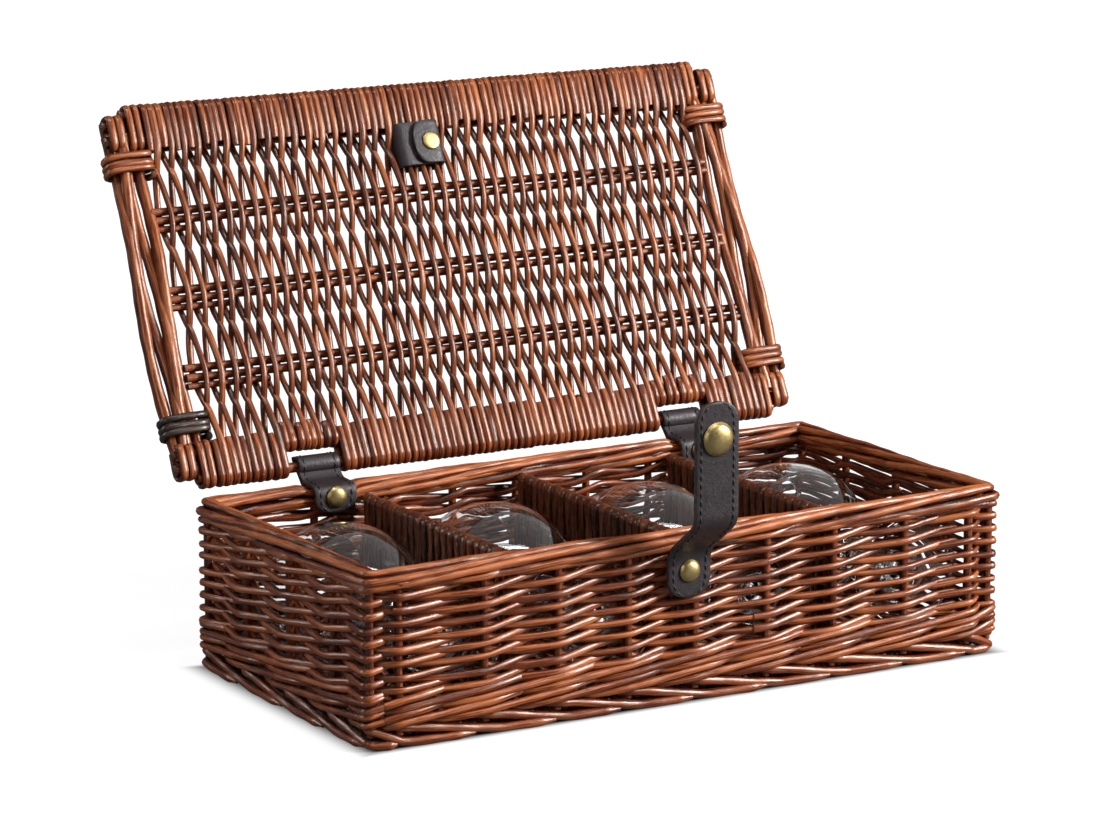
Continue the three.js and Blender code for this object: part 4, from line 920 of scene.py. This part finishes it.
for row, reach in BINDINGS.items():
    for side, sign in LID_ENDS.items():
        binding = Bundle()
        turns = linspace(-0.1, 3.1, 110)
        angle = TURN * turns
        swing, rise = cos(angle), sin(angle)
        x = sign * BINDING_MIDDLE + BINDING_HALF * fuller(swing, 0.55)
        along = reach + BINDING_PITCH * (turns - 1.5) + 0.4 * sin(angle / 2 + sign)
        points = columns([x, along, END_DEPTH + BINDING_DEPTH * fuller(rise, 0.55)])
        facing = columns([swing * BINDING_DEPTH, 0 * turns, rise * BINDING_HALF])
        binding.rod(points, facing, 2.1, 1.4, tint=luck.uniform(0.4, 0.8))
        name = f"lid_binding_{row}_{side}"
        finish = black_willow if (row, side) == ("back", "left") else lid_shaded_willow
        add_lid_rods(name + "_turns", binding, finish, [name])

# %% [markdown]
# Leather has a fine pebbled grain, dark open pores and edges polished by wear. The strips carry where each point lies
# on the hide, so the grain doesn't slide when the strap bends. The thread is twisted from darker, waxed plies.

# %% Leather and thread
HIDE_SHADES = [(0.3, (0.015, 0.009, 0.011, 1)), (0.55, (0.024, 0.015, 0.017, 1)), (0.75, (0.042, 0.028, 0.029, 1))]
PORE_SHADE = (0.015, 0.010, 0.011, 1)
WORN_SHADE = (0.085, 0.064, 0.062, 1)
THREAD_SHADES = [(0.2, (0.004, 0.003, 0.004, 1)), (0.9, (0.014, 0.011, 0.012, 1))]
leather, bench, shader = open_material("aubergine_leather")
hide = bench.attribute("hide_place")
pebbles = bench.node("TexVoronoi", {"Vector": hide, "Scale": 900.0}).outputs["Distance"]
grain = bench.noise(hide, 520.0, 3.0)
colour = bench.ramp(bench.noise(hide, 70.0, 4.0), HIDE_SHADES)
colour = bench.blend(bench.maths("MULTIPLY", bench.between(pebbles, 0.25, 0.6), 0.3), colour, PORE_SHADE)
worn = bench.maths("MULTIPLY", bench.attribute("hide_edge", "Fac"), bench.between(grain, 0.35, 0.75))
bench.feed(shader, {
    "Base Color": bench.blend(worn, colour, WORN_SHADE),
    "Roughness": bench.between(grain, 0.2, 0.8, 0.38, 0.62),
    "Normal": bench.bump(bench.weighted((grain, 0.5), (pebbles, -0.6)), 0.5),
})
thread, bench, shader = open_material("waxed_thread")
inputs = {"Vector": bench.attribute("rod_place"), "Scale": 900.0, "Distortion": 1.0}
plies = bench.node("TexWave", inputs).outputs[1]
bench.feed(shader, {"Base Color": bench.ramp(plies, THREAD_SHADES), "Roughness": bench.between(plies, 0, 1, 0.42, 0.6)})
print("leather finishes:", leather.name, thread.name)

# %% [markdown]
# A leather strip is two layers sewn back to back. It is swept along its middle line with a section that has soft
# edges, a groove where the layers meet and a shallow valley where the thread pulls the face down.

# %% Leather strips
STITCH_INSET, STITCH_PITCH, STITCH_LONG = 3.4, 4.6, 3.2
STITCH_SINK = np.array([-0.35, 0.05, 0.12, 0.05, -0.35])[:, None]
EDGE_SECTION = [(0.25, 0.78), (0.0, 0.4), (0.5, 0.0), (0.0, -0.4), (0.25, -0.78)]
VALLEY_DEEP, VALLEY_WIDE = 0.16, 0.7
FLAT_POINTS = 11


def smooth_line(points, step):
    """Points about one step apart on a soft curve through the given ones."""
    points = np.asarray(points, float)
    ghost = joined([[2 * points[0] - points[1]], points, [2 * points[-1] - points[-2]]])
    found = []
    for before, first, second, after in zip(ghost, ghost[1:], ghost[2:], ghost[3:]):
        share = np.arange(0, 1, 1 / max(2, int(np.linalg.norm(second - first) / step)))[:, None]
        curve = 2 * first + (second - before) * share + (2 * before - 5 * first + 4 * second - after) * share ** 2
        found.append(0.5 * (curve + (3 * first - before - 3 * second + after) * share ** 3))
    return joined(found + [points[-1:]])


def tip_widths(points, half, start_round, stop_round):
    """Half widths along a strip whose ends may be rounded over a given length."""
    along = line_length(points)
    widths = np.full(len(points), float(half))
    for gone, length in ((along, start_round), (along[-1] - along, stop_round)):
        if length:
            short = 1 - np.clip(gone / length, 0, 1)
            widths = np.minimum(widths, half * np.maximum(1 - short ** 2.6, 0.0) ** (1 / 2.2))
    return np.maximum(widths, 1.2)


def strip_mesh(name, points, side, widths, half_thick, move=np.asarray):
    """A two-layer strip along points. Side is the direction of its width; the face looks along side x ahead."""
    face = unit(np.cross(side, unit(np.gradient(points, axis=0))))
    wide = widths[:, None]
    flat = linspace(-1, 1, FLAT_POINTS) * (wide - 0.7)
    valley = VALLEY_DEEP * np.exp(-((abs(flat) - (wide - STITCH_INSET)) / VALLEY_WIDE) ** 2) * (wide > 6)
    inset, level = np.transpose(EDGE_SECTION)
    edge = half_thick * level + 0 * wide
    aside = np.hstack([flat, wide - inset, flat[:, ::-1], inset[::-1] - wide])
    lift = np.hstack([half_thick - valley, edge, 0 * flat - half_thick, edge[:, ::-1]])
    rings = points[:, None] + side * aside[..., None] + face[:, None] * lift[..., None]
    along = line_length(points)
    place = np.stack(np.broadcast_arrays(aside, along[:, None], lift), -1)
    worn = np.repeat([0.0, 1.0] * 2, [FLAT_POINTS, len(level)] * 2)
    stations, size = aside.shape
    total, ends = stations * size, [0, -1]
    quads = tube_quads(stations, size)[:, [0, 3, 2, 1]]
    caps = fan(0, size, total), fan(total - size, size, total + 1)[:, ::-1]
    made = mesh_of(name, move(joined([rings.reshape(-1, 3), points[ends]])), quads, *caps)
    mark(made, "hide_place", joined([place.reshape(-1, 3), columns([(0, 0), along[ends], (0, 0)])]) * MM)
    mark(made, "hide_edge", joined([np.tile(worn, stations), (1.0, 1.0)]))
    return made


def stitches_mesh(name, line, side, widths, half_thick):
    """Thread stitches along both edges of a strip, which follow its rounded ends. Each is sunk at both ends."""
    sewing = Bundle()
    face = unit(np.cross(side, unit(np.gradient(line, axis=0))))
    wide_enough = widths > STITCH_INSET + 2.5
    for sign in (-1, 1):
        row = line + side * sign * (widths - STITCH_INSET)[:, None] + face * (half_thick - 0.05)
        row, out = row[wide_enough], face[wide_enough]
        along = line_length(row)
        for start in np.arange(0.5, along[-1] - STITCH_LONG, STITCH_PITCH):
            places = start + STITCH_LONG * linspace(0, 1, 5)
            points, facing = [
                columns([np.interp(places, along, values[:, k]) for k in range(3)]) for values in (row, out)]
            sewing.rod(points + facing * STITCH_SINK, facing, 0.5, 0.42, sides=6)
    return sewing.mesh(name)


print("strip and stitch helpers ready")

# %% [markdown]
# The strap is riveted to the front, leans out from the rim and stands up by its own stiffness. It has to bend in two
# places when the basket is closed, so it is cut in two in the middle of its lower stretch, and the halves meet edge
# to edge.

# %% Strap
STRAP_X = -7.0
STRAP_HALF, STRAP_HALF_THICK = 13.5, 1.35
FLEX = np.array([STRAP_X, -102.0, 84.5])
FOLD = np.array([STRAP_X, -128.734, 104.646])
STRAP_FOOT = np.array([STRAP_X, -102.0, 59.0])
STRAP_TIP = np.array([STRAP_X, -128.734, 170.96])


def bend(before, corner, after, radius):
    """Points of a soft bend at a corner between two stretches."""
    start = corner + unit(before - corner) * radius
    stop = corner + unit(after - corner) * radius
    share = linspace(0, 1, 9)[:, None]
    return (1 - share) ** 2 * start + 2 * share * (1 - share) * corner + share ** 2 * stop


def stretch(first, last, step=1.5):
    return linspace(first, last, max(3, int(np.linalg.norm(last - first) / step)))


def strap_line(first, middle, last):
    """A straight stretch, a bend and another stretch, without doubled points."""
    line = joined([stretch(first, middle[0]), middle, stretch(middle[-1], last)])
    return line[joined([[True], np.linalg.norm(np.diff(line, axis=0), axis=1) > 0.02])]


cut_at = (FLEX + FOLD) / 2
slope = unit(FOLD - FLEX)
base_line = strap_line(STRAP_FOOT, bend(STRAP_FOOT, FLEX, FOLD, 7.0), cut_at)
end_line = strap_line(cut_at, bend(FLEX, FOLD, STRAP_TIP, 5.0), STRAP_TIP)
base_nodes, end_nodes = ["strap_foot", "strap_lower"], ["strap_upper"]
strap_halves = {
    "strap_base_half": (base_line, (12.0, 0), base_nodes, "basket", "strap_base", FLEX - UP * 7, FLEX + slope * 7),
    "strap_end_half": (end_line, (0, 13.0), end_nodes, "strap_base", "strap_end", FOLD - slope * 6, FOLD + UP * 6),
}
for name, (line, rounds, nodes, first, second, start, end) in strap_halves.items():
    shape = line, RIGHT, tip_widths(line, STRAP_HALF, *rounds), STRAP_HALF_THICK
    sewn = name + "_stitches"
    for piece in (
        add_piece(name, strip_mesh(name, *shape), leather, None, nodes),
        add_piece(sewn, stitches_mesh(sewn, *shape), thread, None, []),
    ):
        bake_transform(piece)
    print(name, "bends between", first, "and", second)

# %% [markdown]
# Each hinge is a leather loop: a strip that hangs inside the rim, goes over it and round the lid's outer stick, and
# comes down outside, held by one rivet through the rim.

# %% Hinge loops
LOOP_HALF, LOOP_HALF_THICK = 13.0, 1.1
LOOP_RADIUS = 4.6
LOOP_TIP = 9.0
inside = [(86.1, 81.0), (86.1, 86.0), (86.2, 92.0), (87.3, 94.8), (90.0, 95.9), (96.0, 96.1), (101.5, 96.9)]
outside = [(104.2, 97.2), (102.1, 94.0), (101.9, 90.0), (101.9, 81.0)]
wrap = np.radians(linspace(239, -29, 24))[2:-6]
round_stick = columns([HINGE_Y + LOOP_RADIUS * cos(wrap), HINGE_Z + LOOP_RADIUS * sin(wrap)])
loop_path = joined([inside, round_stick, outside])
loop_line = smooth_line(columns([np.zeros(len(loop_path)), loop_path]), 1.3)
for side, x in HINGES.items():
    line = loop_line + x * RIGHT
    shape = line, RIGHT, tip_widths(line, LOOP_HALF, LOOP_TIP, LOOP_TIP), LOOP_HALF_THICK
    name = f"hinge_loop_{side}"
    cover, sewn = name + "_leather", name + "_stitches"
    add_piece(cover, strip_mesh(cover, *shape), leather, "basket", [name])
    add_piece(sewn, stitches_mesh(sewn, *shape), thread, "basket", [])

# %% [markdown]
# The lid's tab is one strip threaded through the weave. Its ends overlap on the inner face, where the press stud holds
# them, and the end on top is rounded.

# %% Lid tab
TAB_REACH = 178.8
TAB_HALF, TAB_HALF_THICK = 13.0, 0.95
under_end = [(-4.0, -6.6), (-12.0, -6.9), (-21.0, -6.8), (-24.6, -6.2), (-26.6, -3.6), (-27.0, 0)]
outside = [(-26.6, 4), (-24.6, 6.6), (-19, 7.4), (-8, 7.6), (-2.2, 7.4), (0.4, 5.0), (0.9, 0)]
over_end = [(0.7, -5.0), (-0.8, -8.2), (-4.0, -9.2), (-9.0, -9.4), (-18.0, -9.2)]
tab_points = [(x - LID_SHIFT, TAB_REACH, depth) for x, depth in under_end + outside + over_end]
tab_line = smooth_line(tab_points, 1.0)
tab_widths = tip_widths(tab_line, TAB_HALF, 0, 9.0)
tab_mesh = strip_mesh("lid_tab", tab_line, -BACK, tab_widths, TAB_HALF_THICK, lid_place)
tab_mesh.flip_normals()
add_piece("lid_tab_leather", tab_mesh, leather, "lid", ["lid_tab"])

# %% [markdown]
# Studs and rivets are pressed from thin brass and have aged: brown in the hollows, brighter where fingers polish them.
# They are turned shapes, so a profile is spun round its axis.

# %% Brass finish and turned shapes
BRASS_SHADES = [(0.3, (0.33, 0.23, 0.09, 1)), (0.5, (0.44, 0.33, 0.14, 1)), (0.7, (0.54, 0.42, 0.20, 1))]
SMALLEST_RADIUS = 0.02
brass, bench, shader = open_material("aged_brass")
spot = bench.node("TexCoord").outputs["Object"]
tarnish = bench.noise(spot, 110.0, 4.0)
bench.feed(shader, {
    "Base Color": bench.ramp(tarnish, BRASS_SHADES),
    "Metallic": 1.0,
    "Roughness": bench.between(bench.noise(spot, 1400.0, 2.0), 0.3, 0.7, 0.34, 0.5),
    "Normal": bench.bump(tarnish, 0.06),
})


def turned(name, profile, centre, axis, sides=48):
    """A mesh spun from (radius, height) pairs about an axis through centre. Ends with radius 0 are closed."""
    axis = unit(axis)
    first = unit(np.cross(axis, (0.3, 0.2, 0.93)))
    second = np.cross(axis, first)
    angle = linspace(0, TURN, sides, endpoint=False)
    spoke = cos(angle)[:, None] * first + sin(angle)[:, None] * second
    verts = [centre + axis * height + spoke * max(radius, SMALLEST_RADIUS) for radius, height in profile]
    here, last = np.arange(sides)[None], (len(profile) - 1) * sides
    return mesh_of(name, joined(verts), tube_quads(len(profile), sides), here[:, ::-1], last + here)


def dome(radius, rise, lip):
    """The profile of a domed head: a flat underside, a rolled lip and a crown."""
    angle = linspace(0.25, pi / 2, 12)
    crown = [(radius * 0.93 * math.cos(a), lip * 0.8 + (rise - lip * 0.8) * math.sin(a)) for a in angle]
    return [(0, 0), (radius * 0.9, 0), (radius, lip * 0.35), (radius, lip * 0.7), (radius * 0.96, lip)] + crown


def add_stud(name, profile, centre, axis, body, nodes):
    add_piece(name, turned(name, profile, centre, axis), brass, body, nodes)


print("brass finish and turning helpers ready")

# %% [markdown]
# The strap's cap is a wide, gentle dome, with the socket of the press stud behind it. The strap's rivet and the two
# hinge rivets have smaller heads, and the hinge rivets show a small tail outside the rim. The stud on the lid's tab has
# a flat disc inside and, outside, the post that the socket closes on.

# %% Studs and rivets
STUD_LEVEL = 150.96
RIVET_LEVEL = 90.0
POST_X = STRAP_X - LID_SHIFT
cap = dome(9.25, 4.6, 1.0)
head = dome(6.25, 3.2, 0.8)
tail = dome(3.5, 1.6, 0.5)
socket = [(0, 0), (5.5, 0), (5.6, 0.4), (5.3, 1.0), (3.8, 1.2), (3.1, 1.05), (3.0, 0.15), (0, 0.15)]
disc = [(0, 0), (5.3, 0), (5.5, 0.4), (5.3, 0.9), (4.6, 1.15), (3.0, 1.25), (0, 1.3)]
post = [(0, 0), (2.6, 0), (2.65, 0.4), (2.2, 0.6), (2.1, 0.8), (2.4, 1.05), (2.0, 1.35), (0, 1.4)]
add_stud("snap_cap_dome", cap, (STRAP_X, -130.0, STUD_LEVEL), -BACK, "strap_end", ["snap_cap"])
add_stud("snap_socket_ring", socket, (STRAP_X, -127.45, STUD_LEVEL), BACK, "strap_end", ["snap_socket"])
add_stud("strap_rivet_head", head, (STRAP_X, -103.3, 74.0), -BACK, "basket", ["strap_rivet"])
for side, x in HINGES.items():
    name = f"hinge_rivet_{side}"
    add_stud(name + "_head", head, (x, 85.0, RIVET_LEVEL), -BACK, "basket", [name])
    add_stud(name + "_tail", tail, (x, 103.0, RIVET_LEVEL), BACK, "basket", [])
disc_at, post_at = lid_place([(POST_X, TAB_REACH, -10.2), (POST_X, TAB_REACH, 8.4)])
inward = lid_place([(0, 0, -1)])[0] - LID_HINGE
add_stud("lid_tab_stud_disc", disc, disc_at, inward, "lid", ["lid_tab_stud"])
add_stud("lid_tab_stud_post", post, post_at, -inward, "lid", [])

# %% [markdown]
# Four clear stemmed glasses lie with their feet to the front and their mouths to the back. The wall is thin, and a
# single closed profile gives the outer face, the rim and the inner face, which is what makes glass refract well.

# %% Glasses
GLASS_LEVEL = 50.3
GLASSES = {1: -145.55, 2: -50.0, 3: 50.0, 4: 145.55}
glass, bench, shader = open_material("clear_glass")
smudge = bench.noise(bench.node("TexCoord").outputs["Object"], 40.0, 3.0)
bench.feed(shader, {
    "Base Color": (0.975, 0.985, 0.985, 1),
    "Roughness": bench.between(smudge, 0.55, 0.8, 0.0, 0.05),
    "Transmission Weight": 1.0,
    "IOR": 1.48,
})
underside = [(0, -85.2), (28, -85.6), (32.4, -86), (33.1, -85.5)]
foot_and_stem = [(33, -84.8), (30, -83.9), (20, -82.3), (11, -79.2), (5.6, -73), (3.9, -64), (3.6, -54), (3.7, -42)]
bowl = [(4.8, -33.5), (9, -27.5), (17, -21), (25.5, -12.5), (33, -1), (38, 10), (40, 20), (39.4, 32), (36.6, 46)]
bowl += [(33.4, 56), (31, 61.6)]
lip = [(30.6, 62.2), (29.9, 62.2)]
inner = [(29.5, 61.6), (31.8, 56), (35, 46), (37.8, 32), (38.4, 20), (36.4, 10), (31.4, -0.5), (24, -11.2)]
inner += [(15.5, -19.2), (7, -23.6), (0, -24.8)]
profile = joined([underside, smooth_line(foot_and_stem + bowl, 1.6), lip, smooth_line(inner, 1.6)])
for number, x in GLASSES.items():
    name = f"glass_{number}"
    mesh = turned(f"stem_{name}", profile, (x, 0, GLASS_LEVEL), BACK, 72)
    add_piece(f"stem_{name}", mesh, glass, f"loose_{name}", [name])
